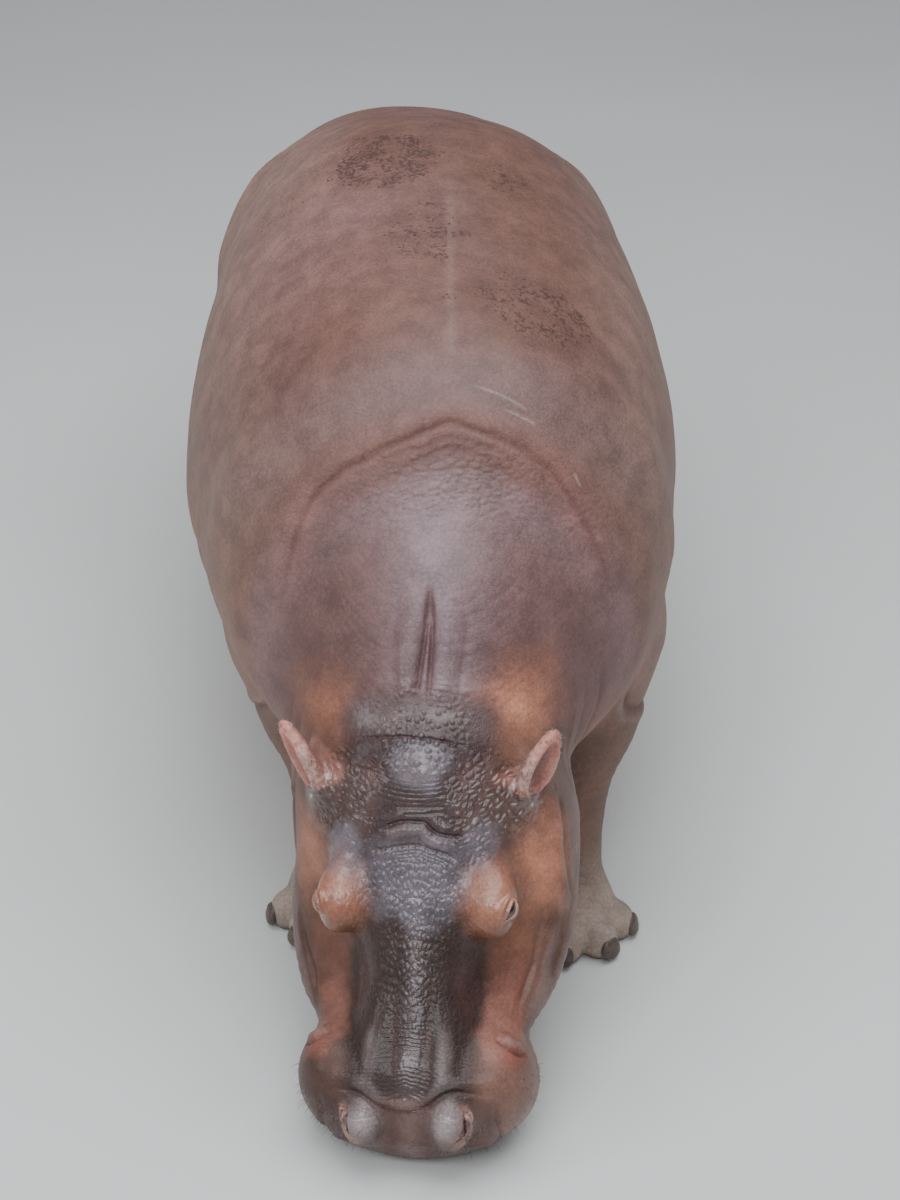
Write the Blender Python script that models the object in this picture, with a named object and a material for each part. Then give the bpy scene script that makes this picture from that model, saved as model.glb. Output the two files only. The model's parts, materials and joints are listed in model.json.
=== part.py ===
"""Hippopotamus at life size, standing with its muzzle lowered to the ground.

Metres. The animal faces -Y, its left side is +X, and its soles stand on z = 0. The flesh is one
faceted surface grown over named masses, then parted into nodes by thin cuts. Eyes and nails are
solids of their own, each in a socket.
"""

import math

import bmesh
import bpy
import numpy as np
import openvdb
from mathutils import Matrix

GAP = 0.0003            # every cut between two nodes
GRID = 0.013            # spacing of the grid that the first surface is drawn on
FLESH_FACES = 4200      # facets of the whole flesh before it is parted
SIDES = {"left": 1, "right": -1}

# Pose of the head: its frame starts at the poll, faces -Y like the body, and is turned from there.
POLL = (-0.084, -1.13, 0.755)
HEAD_PITCH, HEAD_YAW, HEAD_ROLL = 51.0, -7.0, -6.0

EYE_RADIUS = 0.026
EYE = (0.176, -0.306, -0.056)
NAIL = (0.023, 0.013, 0.025)            # half width, half thickness, half height
TOE_ANGLES = (-66, -23, 23, 66)
FORE_SOLE, FORE_STEP_BACK, HIND_SOLE = (0.255, -0.745), 0.07, (0.315, 0.90)
FORE_TURN, HIND_TURN = 13, 10           # toes turned out, degrees


def turned(angle, axis):
    return Matrix.Rotation(math.radians(angle), 4, axis)


HEAD = Matrix.Translation(POLL) @ turned(HEAD_YAW, "Z") @ turned(HEAD_PITCH, "X") @ turned(HEAD_ROLL, "Y")
# The trunk leans a little to the left over its widest level.
TRUNK = Matrix.Translation((-0.02, 0, 0.80)) @ turned(5.0, "Y") @ Matrix.Translation((0, 0, -0.80))


def smooth_union(a, b, blend):
    """The nearer of two distances, with a fillet about as wide as blend where they cross."""
    share = np.clip(0.5 + 0.5 * (b - a) / blend, 0.0, 1.0)
    return b + (a - b) * share - blend * share * (1.0 - share)


def placed(points, matrix):
    m = np.array(matrix)
    return points @ m[:3, :3].T + m[:3, 3]


class Ball:
    """An ellipsoid of flesh. With carve set, it is hollowed out of what came before it."""

    def __init__(self, centre, radii, blend, frame=None, tilt=0, carve=False):
        self.place = (frame or Matrix()) @ Matrix.Translation(centre) @ turned(tilt, "X")
        self.radii, self.blend, self.carve = np.array(radii, float), blend, carve

    def reach(self):
        centre = np.array(self.place.translation)
        return centre - self.radii.max(), centre + self.radii.max()

    def distance(self, points):
        q = placed(points, self.place.inverted())
        near = np.linalg.norm(q / self.radii, axis=1)
        return near * (near - 1) / np.maximum(np.linalg.norm(q / self.radii**2, axis=1), 1e-9)


class Limb:
    """Round flesh along a chain of joints, each (point, radius)."""

    def __init__(self, joints, blend, frame=None):
        self.joints = [(np.array((frame or Matrix()) @ Matrix.Translation(p))[:3, 3], r) for p, r in joints]
        self.blend, self.carve = blend, False

    def reach(self):
        ends = np.array([p for p, r in self.joints])
        most = max(r for p, r in self.joints)
        return ends.min(0) - most, ends.max(0) + most

    def distance(self, points):
        whole = np.full(len(points), 9.0)
        for (a, ra), (b, rb) in zip(self.joints, self.joints[1:]):
            t = np.clip((points - a) @ (b - a) / ((b - a) @ (b - a)), 0, 1)
            whole = smooth_union(whole, np.linalg.norm(points - a - t[:, None] * (b - a), axis=1) - ra - (rb - ra) * t, 0.03)
        return whole


class Barrel:
    """A body along its frame's y. Each station is (y, middle z, half width, height above, depth below)."""

    def __init__(self, stations, blend, frame, squareness=2.2):
        self.frame, self.blend, self.squareness, self.carve = frame, blend, squareness, False
        s = np.array(stations, float)
        y = np.linspace(s[0, 0], s[-1, 0], 80)
        i = np.clip(np.searchsorted(s[:, 0], y) - 1, 0, len(s) - 2)
        h = s[i + 1, 0] - s[i, 0]
        t = (y - s[i, 0]) / h
        self.table = [y]
        for column in s.T[1:]:
            slope = np.gradient(column, s[:, 0])
            self.table.append((2 * t**3 - 3 * t**2 + 1) * column[i] + (3 * t**2 - 2 * t**3) * column[i + 1]
                              + (t**3 - 2 * t**2 + t) * h * slope[i] + (t**3 - t**2) * h * slope[i + 1])

    def at(self, y):
        return [np.interp(y, self.table[0], column) for column in self.table[1:]]

    def ring(self, y, count=32):
        middle, wide, above, below = self.at(y)
        a = np.arange(count) * 2 * math.pi / count
        x = wide * np.sign(np.cos(a)) * np.abs(np.cos(a)) ** (2 / self.squareness)
        z = np.where(np.sin(a) > 0, above, below) * np.sign(np.sin(a)) * np.abs(np.sin(a)) ** (2 / self.squareness)
        return placed(np.column_stack([x, np.full(count, y), middle + z]), self.frame)

    def reach(self):
        corners = np.concatenate([self.ring(y) for y in self.table[0][::8]] + [self.ring(self.table[0][-1])])
        return corners.min(0) - 0.02, corners.max(0) + 0.02

    def distance(self, points):
        q = placed(points, self.frame.inverted())
        middle, wide, above, below = self.at(q[:, 1])
        z = q[:, 2] - middle
        n = self.squareness
        shell = (np.abs(q[:, 0] / wide) ** n + np.abs(z / np.where(z > 0, above, below)) ** n) ** (1 / n)
        out = np.hypot(q[:, 0], z) * (1 - 1 / np.maximum(shell, 0.05))
        return np.maximum(out, np.maximum(self.table[0][0] - q[:, 1], q[:, 1] - self.table[0][-1]))


def trunk_masses():
    spine = [(-0.92, 0.74, 0.24, 0.175, 0.24), (-0.80, 0.79, 0.39, 0.36, 0.33), (-0.66, 0.82, 0.455, 0.465, 0.38),
             (-0.50, 0.82, 0.483, 0.53, 0.40), (-0.25, 0.80, 0.528, 0.59, 0.43), (0.05, 0.78, 0.536, 0.625, 0.44),
             (0.40, 0.78, 0.500, 0.62, 0.44), (0.70, 0.82, 0.470, 0.475, 0.43), (0.95, 0.85, 0.412, 0.332, 0.41),
             (1.15, 0.85, 0.33, 0.262, 0.37), (1.29, 0.84, 0.237, 0.18, 0.30), (1.36, 0.83, 0.16, 0.10, 0.20)]
    return [Barrel(spine, 0.06, TRUNK)] + [Ball((s * 0.15, 1.07, 0.70), (0.22, 0.26, 0.30), 0.08) for s in (1, -1)]


def neck_masses():
    return [Limb([((0.0, -0.45, 0.94), 0.41), ((-0.02, -0.70, 0.775), 0.352), ((-0.06, -0.92, 0.57), 0.275)], 0.06)]


def fore_leg(side):
    back = 0 if side > 0 else FORE_STEP_BACK
    x, y = FORE_SOLE
    return [Ball((side * 0.265, -0.48, 0.72), (0.145, 0.25, 0.38), 0.08, tilt=8),
            Limb([((side * 0.31, -0.50, 0.62), 0.155), ((side * 0.27, -0.55 + back, 0.44), 0.135),
                  ((side * (x - 0.02), y + 0.10 + back, 0.28), 0.094), ((side * (x - 0.02), y + 0.05 + back, 0.13), 0.092)], 0.06)]


def hind_leg(side):
    x, y = HIND_SOLE
    return [Ball((side * 0.275, 0.84, 0.66), (0.195, 0.30, 0.36), 0.08, tilt=-10),
            Limb([((side * 0.32, 0.76, 0.58), 0.20), ((side * 0.33, 0.86, 0.42), 0.160),
                  ((side * (x + 0.005), y + 0.06, 0.29), 0.112), ((side * x, y + 0.02, 0.12), 0.104)], 0.07)]


def foot_frame(end, side):
    if end == "fore":
        x, y = FORE_SOLE
        return Matrix.Translation((side * x, y + (0 if side > 0 else FORE_STEP_BACK), 0)) @ turned(side * FORE_TURN, "Z")
    return Matrix.Translation((side * HIND_SOLE[0], HIND_SOLE[1], 0)) @ turned(side * HIND_TURN, "Z")


def foot(end, side):
    frame = foot_frame(end, side)
    toes = [frame @ turned(angle, "Z") for angle in TOE_ANGLES]
    return [Ball((0, 0.015, 0.055), (0.105, 0.118, 0.085), 0.04, frame)] + [
        Ball((0, -0.094, 0.036), (0.041, 0.047, 0.050), 0.015, toe) for toe in toes]


def ear_frame(side):
    """Starts at the ear's root: z to the tip, -y out of the cup, x across it."""
    return HEAD @ Matrix.Translation((side * 0.208, -0.088, -0.075)) @ turned(side * 34, "Y") @ turned(-49, "X") @ turned(side * 26, "Z")


def head_masses():
    jaws = [(-0.762, -0.175, 0.150, 0.060, 0.055), (-0.722, -0.18, 0.188, 0.088, 0.088), (-0.645, -0.195, 0.213, 0.112, 0.117),
            (-0.55, -0.21, 0.205, 0.098, 0.155), (-0.46, -0.245, 0.248, 0.105, 0.17), (-0.34, -0.265, 0.280, 0.140, 0.175),
            (-0.22, -0.26, 0.284, 0.185, 0.21), (-0.10, -0.25, 0.272, 0.22, 0.22), (0.05, -0.25, 0.20, 0.21, 0.18)]
    bridge = [(-0.700, -0.14, 0.14, 0.075, 0.08), (-0.66, -0.14, 0.150, 0.092, 0.08), (-0.58, -0.15, 0.135, 0.103, 0.08),
              (-0.48, -0.16, 0.115, 0.112, 0.08), (-0.38, -0.16, 0.125, 0.118, 0.08), (-0.28, -0.16, 0.168, 0.130, 0.10),
              (-0.14, -0.17, 0.195, 0.155, 0.10), (-0.02, -0.18, 0.175, 0.170, 0.10), (0.08, -0.20, 0.14, 0.17, 0.10)]
    masses = [Barrel(jaws, 0.05, HEAD, 2.3), Barrel(bridge, 0.07, HEAD, 2.5), Ball((0, -0.59, -0.28), (0.13, 0.09, 0.060), 0.05, HEAD),
              Ball((0, -0.700, -0.165), (0.185, 0.102, 0.082), 0.04, HEAD)]
    for s in (1, -1):
        masses += [Ball((s * 0.154, -0.640, -0.175), (0.084, 0.100, 0.112), 0.035, HEAD),       # lip lobe
                   Ball((s * 0.086, -0.727, -0.098), (0.042, 0.056, 0.046), 0.018, HEAD),      # nostril
                   Ball((s * 0.152, -0.300, -0.070), (0.050, 0.068, 0.046), 0.045, HEAD),      # eye mound
                   Ball((s * 0.17, -0.13, -0.34), (0.10, 0.16, 0.14), 0.06, HEAD),            # jaw angle
                   Ball((0, 0, 0.075), (0.045, 0.024, 0.085), 0.03, ear_frame(s)),            # ear
                   Ball((0, -0.024, 0.082), (0.031, 0.026, 0.064), 0.010, ear_frame(s), carve=True),
                   Ball((s * 0.113, -0.735, -0.078), (0.009, 0.024, 0.018), 0.008, HEAD, carve=True)]
    return masses


def tail_masses():
    return [Limb([((0.01, 1.23, 0.985), 0.062), ((0.01, 1.385, 0.935), 0.046), ((0.01, 1.46, 0.80), 0.034),
                  ((0.01, 1.46, 0.64), 0.020)], 0.035)]


def whole_distance(masses, points):
    total = np.full(len(points), 9.0)
    for mass in masses:
        low, high = mass.reach()
        edge = 3 * mass.blend + 0.03
        near = ((points > low - edge) & (points < high + edge)).all(axis=1)
        if near.any():
            d = mass.distance(points[near])
            total[near] = -smooth_union(-total[near], d, mass.blend) if mass.carve else smooth_union(total[near], d, mass.blend)
    return total


def evaluated(obj):
    graph = bpy.context.evaluated_depsgraph_get()
    return bpy.data.meshes.new_from_object(obj.evaluated_get(graph), depsgraph=graph)


def modified(obj, kind, **settings):
    """Gives obj the mesh that one modifier makes of it."""
    modifier = obj.modifiers.new(kind.lower(), kind)
    for name, value in settings.items():
        setattr(modifier, name, value)
    mesh = evaluated(obj)
    obj.modifiers.clear()
    obj.data = mesh
    return obj


def first_surface(masses, step):
    """A closed mesh of quads round the joined masses, on an even grid."""
    low = np.min([mass.reach()[0] for mass in masses], axis=0) - 3 * step
    high = np.max([mass.reach()[1] for mass in masses], axis=0) + 3 * step
    x, y, z = (np.arange(low[i], high[i], step) for i in range(3))
    sheet = np.stack(np.meshgrid(y, z, indexing="ij"), axis=-1).reshape(-1, 2)
    values = [whole_distance(masses, np.column_stack([np.full(len(sheet), at), sheet])) for at in x]
    grid = openvdb.FloatGrid(1.0)
    grid.copyFromArray(np.array(values, np.float32).reshape(len(x), len(y), len(z)))
    points, quads = grid.convertToQuads(0.0)
    mesh = bpy.data.meshes.new("flesh")
    mesh.from_pydata((points * step + low).tolist(), [], quads.tolist())
    obj = bpy.data.objects.new("flesh", mesh)
    bpy.context.scene.collection.objects.link(obj)
    return obj


def settle(obj, masses, rounds=5):
    """Moves each vertex onto the masses' joined surface, and slides it so that the mesh stays even."""
    mesh = obj.data
    count = len(mesh.vertices)
    ends = np.empty(len(mesh.edges) * 2, np.int32)
    mesh.edges.foreach_get("vertices", ends)
    a, b = ends.reshape(-1, 2).T
    degree = np.bincount(ends, minlength=count)[:, None]
    flat = np.empty(count * 3, np.float32)
    mesh.vertices.foreach_get("co", flat)
    points = flat.reshape(-1, 3).astype(float)
    for turn in range(rounds):
        mesh.vertex_normals.foreach_get("vector", flat)
        normals = flat.reshape(-1, 3).astype(float)
        points -= normals * np.clip(whole_distance(masses, points), -0.03, 0.03)[:, None] * 0.9
        if turn < rounds - 1:
            around = np.column_stack([np.bincount(a, points[b, i], count) + np.bincount(b, points[a, i], count) for i in range(3)])
            slide = around / degree - points
            slide -= normals * (slide * normals).sum(axis=1)[:, None]
            points += slide * 0.5
        mesh.vertices.foreach_set("co", points.astype(np.float32).ravel())
        mesh.update()
    return obj


def welded(mesh):
    """Joins a filled curve's caps to its sides."""
    bm = bmesh.new()
    bm.from_mesh(mesh)
    bmesh.ops.remove_doubles(bm, verts=bm.verts, dist=1e-6)
    bmesh.ops.recalc_face_normals(bm, faces=bm.faces)
    bm.to_mesh(mesh)
    bm.free()
    return mesh


def helper(name, mesh, place):
    obj = bpy.data.objects.new(name, mesh)
    CUTTERS.objects.link(obj)
    obj.matrix_world = place
    obj.display_type = "WIRE"
    obj.hide_render = True
    return obj


def outline_cutter(name, profile, ends, frame, grow=0.0):
    """A cutter from a flat outline: (y, z) points counter-clockwise as seen from +x, extruded along x between ends."""
    profile, (low, high) = np.array(profile, float), sorted(ends)
    sides = np.roll(profile, -1, axis=0) - profile
    outward = np.column_stack([sides[:, 1], -sides[:, 0]]) / np.linalg.norm(sides, axis=1)[:, None]
    wide = [p + np.linalg.solve([outward[i - 1], outward[i]], [grow, grow]) for i, p in enumerate(profile)]
    curve = bpy.data.curves.new(name, "CURVE")
    curve.dimensions, curve.fill_mode, curve.extrude = "2D", "BOTH", (high - low) / 2 + grow
    spline = curve.splines.new("POLY")
    spline.points.add(len(wide) - 1)
    spline.points.foreach_set("co", [value for y, z in wide for value in (y, z, 0, 1)])
    spline.use_cyclic_u = True
    drawn = bpy.data.objects.new(name, curve)
    CUTTERS.objects.link(drawn)
    mesh = welded(evaluated(drawn))
    bpy.data.objects.remove(drawn)
    # The curve's own x, y and z run along the frame's y, z and x.
    stand = Matrix(((0, 0, 1, 0), (1, 0, 0, 0), (0, 1, 0, 0), (0, 0, 0, 1)))
    return helper(name, mesh, frame @ Matrix.Translation(((low + high) / 2, 0, 0)) @ stand)


def boolean(obj, operation, cutter):
    return modified(obj, "BOOLEAN", operation=operation, object=cutter, solver="EXACT")


def parted(rest, name, profile, ends, frame=Matrix()):
    """Makes the flesh inside an extruded outline a node of its own, a gap away from the rest."""
    piece = bpy.data.objects.new(name, rest.data.copy())
    bpy.context.scene.collection.objects.link(piece)
    boolean(piece, "INTERSECT", outline_cutter("cut_" + name, profile, ends, frame))
    boolean(rest, "DIFFERENCE", outline_cutter("gap_" + name, profile, ends, frame, GAP))
    return piece


def ellipsoid(name, radii, segments, rings):
    bm = bmesh.new()
    bmesh.ops.create_uvsphere(bm, u_segments=segments, v_segments=rings, radius=1, matrix=Matrix.Diagonal((*radii, 1)))
    mesh = bpy.data.meshes.new(name)
    bm.to_mesh(mesh)
    bm.free()
    return mesh


def seated(host, name, place, radii, segments, rings):
    """A solid of its own, and its socket in the host."""
    boolean(host, "DIFFERENCE", helper("socket_" + name, ellipsoid(name, [r + GAP for r in radii], segments, rings), place))
    obj = bpy.data.objects.new(name, ellipsoid(name, radii, segments, rings))
    bpy.context.scene.collection.objects.link(obj)
    obj.matrix_world = place
    return obj


def painted(obj, colour, roughness):
    material = bpy.data.materials.new(obj.name)
    material.use_nodes = True
    shader = material.node_tree.nodes["Principled BSDF"]
    shader.inputs["Base Color"].default_value = (*colour, 1)
    shader.inputs["Roughness"].default_value = roughness
    shader.inputs["Metallic"].default_value = 0
    obj.data.materials.clear()
    obj.data.materials.append(material)


def build_flesh():
    masses = trunk_masses() + neck_masses()
    for s in (1, -1):
        masses += fore_leg(s) + hind_leg(s) + foot("fore", s) + foot("hind", s)
    masses += head_masses() + tail_masses()
    flesh = settle(first_surface(masses, GRID), masses)
    modified(flesh, "TRIANGULATE")
    return modified(flesh, "DECIMATE", ratio=FLESH_FACES / len(flesh.data.polygons))


def build():
    flesh = build_flesh()
    boolean(flesh, "DIFFERENCE", outline_cutter("cut_soles", [(-2, -0.2), (2, -0.2), (2, 0), (-2, 0)], (-1, 1), Matrix()))
    nodes = {}
    for side, s in SIDES.items():
        nodes["ear_" + side] = parted(flesh, "ear_" + side, [(-0.045, 0.022), (0.028, 0.036), (0.028, 0.20), (-0.045, 0.20)],
                                      (-0.050, 0.050), ear_frame(s))
        back = 0 if s > 0 else FORE_STEP_BACK * 0.6
        fore = [(-1.0, -0.1), (-0.44, -0.1), (-0.40 + back, 0.45), (-0.73 + back, 0.46), (-0.82, 0.25), (-1.0, 0.12)]
        hind = [(0.50, -0.1), (1.44, -0.1), (1.44, 0.50), (1.05, 0.60), (0.78, 0.60), (0.58, 0.46)]
        nodes["fore_leg_" + side] = parted(flesh, "fore_leg_" + side, fore, (s * 0.045, s * 0.75))
        nodes["hind_leg_" + side] = parted(flesh, "hind_leg_" + side, hind, (s * 0.055, s * 0.75))
        for end in ("fore", "hind"):
            ankle = [(-1.1, -0.1), (1.6, -0.1), (1.6, 0.150), (-1.1, 0.150)]
            leg = nodes[f"{end}_leg_{side}"]
            name = f"{end}_foot_{side}"
            nodes[name] = parted(leg, name, ankle, (-0.8, 0.8))
    nodes["tail"] = parted(flesh, "tail", [(1.375, 1.30), (1.365, 0.99), (1.40, 0.86), (1.405, 0.40), (1.70, 0.40), (1.70, 1.30)],
                           (-0.09, 0.11))
    nodes["head"] = parted(flesh, "head", [(0.05, 0.35), (-1.0, 0.35), (-1.0, -0.6), (-0.06, -0.6)], (-0.6, 0.6), HEAD)
    nodes["lower_jaw"] = parted(nodes["head"], "lower_jaw",
                                [(-1.0, -0.265), (-1.0, -0.9), (-0.14, -0.9), (-0.14, -0.36), (-0.30, -0.29), (-0.60, -0.255)],
                                (-0.6, 0.6), HEAD)
    nodes["neck"] = parted(flesh, "neck", [(-0.75, 1.6), (-1.6, 1.6), (-1.6, 0.1), (-0.75, 0.1)], (-0.8, 0.8))
    flesh.name = "trunk"
    nodes["trunk"] = flesh
    for node in nodes.values():
        painted(node, (0.26, 0.17, 0.16), 0.45)
    for side, s in SIDES.items():
        eye = seated(nodes["head"], "eye_" + side, HEAD @ Matrix.Translation((s * EYE[0], EYE[1], EYE[2])) @ turned(90, "Y"),
                     [EYE_RADIUS] * 3, 12, 8)
        painted(eye, (0.03, 0.015, 0.01), 0.1)
        nodes["eye_" + side] = eye
        for end in ("fore", "hind"):
            for i, angle in enumerate(TOE_ANGLES):
                place = foot_frame(end, s) @ turned(angle, "Z") @ Matrix.Translation((0, -0.137, 0.032)) @ turned(-12, "X")
                name = f"{end}_nail_{side}_{i + 1}"
                nodes[name] = seated(nodes[f"{end}_foot_{side}"], name, place, NAIL, 7, 5)
                painted(nodes[name], (0.12, 0.09, 0.08), 0.4)
    return nodes


def centre(nodes):
    """Hangs every object on an empty, moved so that the world's origin is the bottom centre of the whole box."""
    points = np.concatenate([[obj.matrix_world @ v.co for v in obj.data.vertices] for obj in nodes.values()])
    middle = (points.min(axis=0) + points.max(axis=0)) / 2
    stance = bpy.data.objects.new("stance", None)
    stance.location = (-middle[0], -middle[1], 0)
    model = bpy.data.collections.new("hippopotamus")
    bpy.context.scene.collection.children.link(model)
    model.objects.link(stance)
    for name, obj in nodes.items():
        obj.name = obj.data.name = name
        bpy.context.scene.collection.objects.unlink(obj)
        model.objects.link(obj)
    for obj in list(nodes.values()) + list(CUTTERS.objects):
        obj.parent = stance


for old in list(bpy.data.objects):
    bpy.data.objects.remove(old)
CUTTERS = bpy.data.collections.new("cutters")
bpy.context.scene.collection.children.link(CUTTERS)
CUTTERS.hide_render = True
centre(build())
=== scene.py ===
"""Hippopotamus at life size: the skin, eyes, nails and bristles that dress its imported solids.

Metres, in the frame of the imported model: the animal faces -Y and its left side is +X. One skin is grown
over the same masses as the solids, set fine where the hide is fine, then folded, wrinkled and pebbled.
"""

import json
import math

import bmesh
import bpy
import numpy as np
import openvdb
from mathutils import Matrix, Vector

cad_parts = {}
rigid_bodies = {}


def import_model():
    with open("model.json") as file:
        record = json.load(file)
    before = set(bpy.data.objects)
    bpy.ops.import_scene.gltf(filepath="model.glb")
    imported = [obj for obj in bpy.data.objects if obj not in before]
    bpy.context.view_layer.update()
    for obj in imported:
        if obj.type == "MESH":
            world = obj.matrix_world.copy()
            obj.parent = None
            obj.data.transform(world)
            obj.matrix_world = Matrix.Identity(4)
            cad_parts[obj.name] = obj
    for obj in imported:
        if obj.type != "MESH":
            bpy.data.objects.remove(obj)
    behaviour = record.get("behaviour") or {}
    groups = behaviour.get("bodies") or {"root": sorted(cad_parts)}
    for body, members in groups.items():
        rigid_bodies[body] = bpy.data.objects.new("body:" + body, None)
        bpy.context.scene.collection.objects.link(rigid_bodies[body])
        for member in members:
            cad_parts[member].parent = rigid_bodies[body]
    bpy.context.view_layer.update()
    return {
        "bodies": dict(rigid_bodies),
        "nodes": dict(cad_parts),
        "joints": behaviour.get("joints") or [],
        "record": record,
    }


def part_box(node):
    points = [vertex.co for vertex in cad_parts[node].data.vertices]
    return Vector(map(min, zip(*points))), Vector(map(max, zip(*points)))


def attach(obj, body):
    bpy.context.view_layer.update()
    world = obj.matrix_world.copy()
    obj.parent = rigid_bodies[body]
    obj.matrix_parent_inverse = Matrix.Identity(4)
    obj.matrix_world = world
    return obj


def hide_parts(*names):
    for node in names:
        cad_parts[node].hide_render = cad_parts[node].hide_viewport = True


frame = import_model()

# ---------------------------------------------------------------- anatomy
SIDES = {"left": 1, "right": -1}
ENDS = ("fore", "hind")
POLL = (-0.084, -1.13, 0.755)
HEAD_PITCH, HEAD_YAW, HEAD_ROLL = 51.0, -7.0, -6.0
EYE_RADIUS = 0.026
EYE = (0.176, -0.306, -0.056)
NAIL = (0.023, 0.013, 0.025)
TOE_ANGLES = (-66, -23, 23, 66)
FORE_SOLE, FORE_STEP_BACK, HIND_SOLE = (0.255, -0.745), 0.07, (0.315, 0.90)
FORE_TURN, HIND_TURN = 13, 10


def turned(angle, axis):
    return Matrix.Rotation(math.radians(angle), 4, axis)


HEAD = Matrix.Translation(POLL) @ turned(HEAD_YAW, "Z") @ turned(HEAD_PITCH, "X") @ turned(HEAD_ROLL, "Y")
TRUNK = Matrix.Translation((-0.02, 0, 0.80)) @ turned(5.0, "Y") @ Matrix.Translation((0, 0, -0.80))


def smooth_union(a, b, blend):
    """The nearer of two distances, with a fillet about as wide as blend where they cross."""
    share = np.clip(0.5 + 0.5 * (b - a) / blend, 0.0, 1.0)
    return b + (a - b) * share - blend * share * (1.0 - share)


def placed(points, matrix):
    m = np.array(matrix)
    return points @ m[:3, :3].T + m[:3, 3]


class Ball:
    """An ellipsoid of flesh. With carve set, it is hollowed out of what came before it."""

    def __init__(self, centre, radii, blend, frame=None, tilt=0, carve=False):
        self.place = (frame or Matrix()) @ Matrix.Translation(centre) @ turned(tilt, "X")
        self.radii, self.blend, self.carve = np.array(radii, float), blend, carve

    def reach(self):
        centre = np.array(self.place.translation)
        return centre - self.radii.max(), centre + self.radii.max()

    def distance(self, points):
        q = placed(points, self.place.inverted())
        near = np.linalg.norm(q / self.radii, axis=1)
        return near * (near - 1) / np.maximum(np.linalg.norm(q / self.radii**2, axis=1), 1e-9)


class Limb:
    """Round flesh along a chain of joints, each (point, radius)."""

    def __init__(self, joints, blend, frame=None):
        self.joints = [(np.array((frame or Matrix()) @ Matrix.Translation(p))[:3, 3], r) for p, r in joints]
        self.blend, self.carve = blend, False

    def reach(self):
        ends = np.array([p for p, r in self.joints])
        most = max(r for p, r in self.joints)
        return ends.min(0) - most, ends.max(0) + most

    def distance(self, points):
        whole = np.full(len(points), 9.0)
        for (a, ra), (b, rb) in zip(self.joints, self.joints[1:]):
            t = np.clip((points - a) @ (b - a) / ((b - a) @ (b - a)), 0, 1)
            length = np.linalg.norm(points - a - t[:, None] * (b - a), axis=1)
            whole = smooth_union(whole, length - ra - (rb - ra) * t, 0.03)
        return whole


class Barrel:
    """A body along its frame's y. Each station is (y, middle z, half width, height above, depth below)."""

    def __init__(self, stations, blend, frame, squareness=2.2):
        self.frame, self.blend, self.squareness, self.carve = frame, blend, squareness, False
        s = np.array(stations, float)
        y = np.linspace(s[0, 0], s[-1, 0], 80)
        i = np.clip(np.searchsorted(s[:, 0], y) - 1, 0, len(s) - 2)
        h = s[i + 1, 0] - s[i, 0]
        t = (y - s[i, 0]) / h
        self.table = [y]
        for column in s.T[1:]:
            slope = np.gradient(column, s[:, 0])
            self.table.append((2 * t**3 - 3 * t**2 + 1) * column[i] + (3 * t**2 - 2 * t**3) * column[i + 1]
                              + (t**3 - 2 * t**2 + t) * h * slope[i] + (t**3 - t**2) * h * slope[i + 1])

    def at(self, y):
        return [np.interp(y, self.table[0], column) for column in self.table[1:]]

    def ring(self, y, count=32):
        middle, wide, above, below = self.at(y)
        a = np.arange(count) * 2 * math.pi / count
        x = wide * np.sign(np.cos(a)) * np.abs(np.cos(a)) ** (2 / self.squareness)
        z = (np.where(np.sin(a) > 0, above, below) * np.sign(np.sin(a))
             * np.abs(np.sin(a)) ** (2 / self.squareness))
        return placed(np.column_stack([x, np.full(count, y), middle + z]), self.frame)

    def reach(self):
        corners = np.concatenate([self.ring(y) for y in self.table[0][::8]] + [self.ring(self.table[0][-1])])
        return corners.min(0) - 0.02, corners.max(0) + 0.02

    def distance(self, points):
        q = placed(points, self.frame.inverted())
        middle, wide, above, below = self.at(q[:, 1])
        z = q[:, 2] - middle
        n = self.squareness
        shell = (np.abs(q[:, 0] / wide) ** n + np.abs(z / np.where(z > 0, above, below)) ** n) ** (1 / n)
        out = np.hypot(q[:, 0], z) * (1 - 1 / np.maximum(shell, 0.05))
        return np.maximum(out, np.maximum(self.table[0][0] - q[:, 1], q[:, 1] - self.table[0][-1]))


def trunk_masses():
    spine = [(-0.92, 0.74, 0.24, 0.175, 0.24), (-0.80, 0.79, 0.39, 0.36, 0.33),
             (-0.66, 0.82, 0.455, 0.465, 0.38), (-0.50, 0.82, 0.483, 0.53, 0.40),
             (-0.25, 0.80, 0.528, 0.59, 0.43), (0.05, 0.78, 0.536, 0.625, 0.44),
             (0.40, 0.78, 0.500, 0.62, 0.44), (0.70, 0.82, 0.470, 0.475, 0.43),
             (0.95, 0.85, 0.412, 0.332, 0.41), (1.15, 0.85, 0.33, 0.262, 0.37),
             (1.29, 0.84, 0.237, 0.18, 0.30), (1.36, 0.83, 0.16, 0.10, 0.20)]
    haunches = [Ball((s * 0.15, 1.07, 0.70), (0.22, 0.26, 0.30), 0.08) for s in (1, -1)]
    return [Barrel(spine, 0.06, TRUNK)] + haunches


def neck_masses():
    return [Limb([((0.0, -0.45, 0.94), 0.41), ((-0.02, -0.70, 0.775), 0.352), ((-0.06, -0.92, 0.57), 0.275)],
                 0.06)]


def fore_leg(side):
    back = 0 if side > 0 else FORE_STEP_BACK
    x, y = FORE_SOLE
    return [Ball((side * 0.265, -0.48, 0.72), (0.145, 0.25, 0.38), 0.08, tilt=8),
            Limb([((side * 0.31, -0.50, 0.62), 0.155), ((side * 0.27, -0.55 + back, 0.44), 0.135),
                  ((side * (x - 0.02), y + 0.10 + back, 0.28), 0.094),
                  ((side * (x - 0.02), y + 0.05 + back, 0.13), 0.092)], 0.06)]


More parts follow.
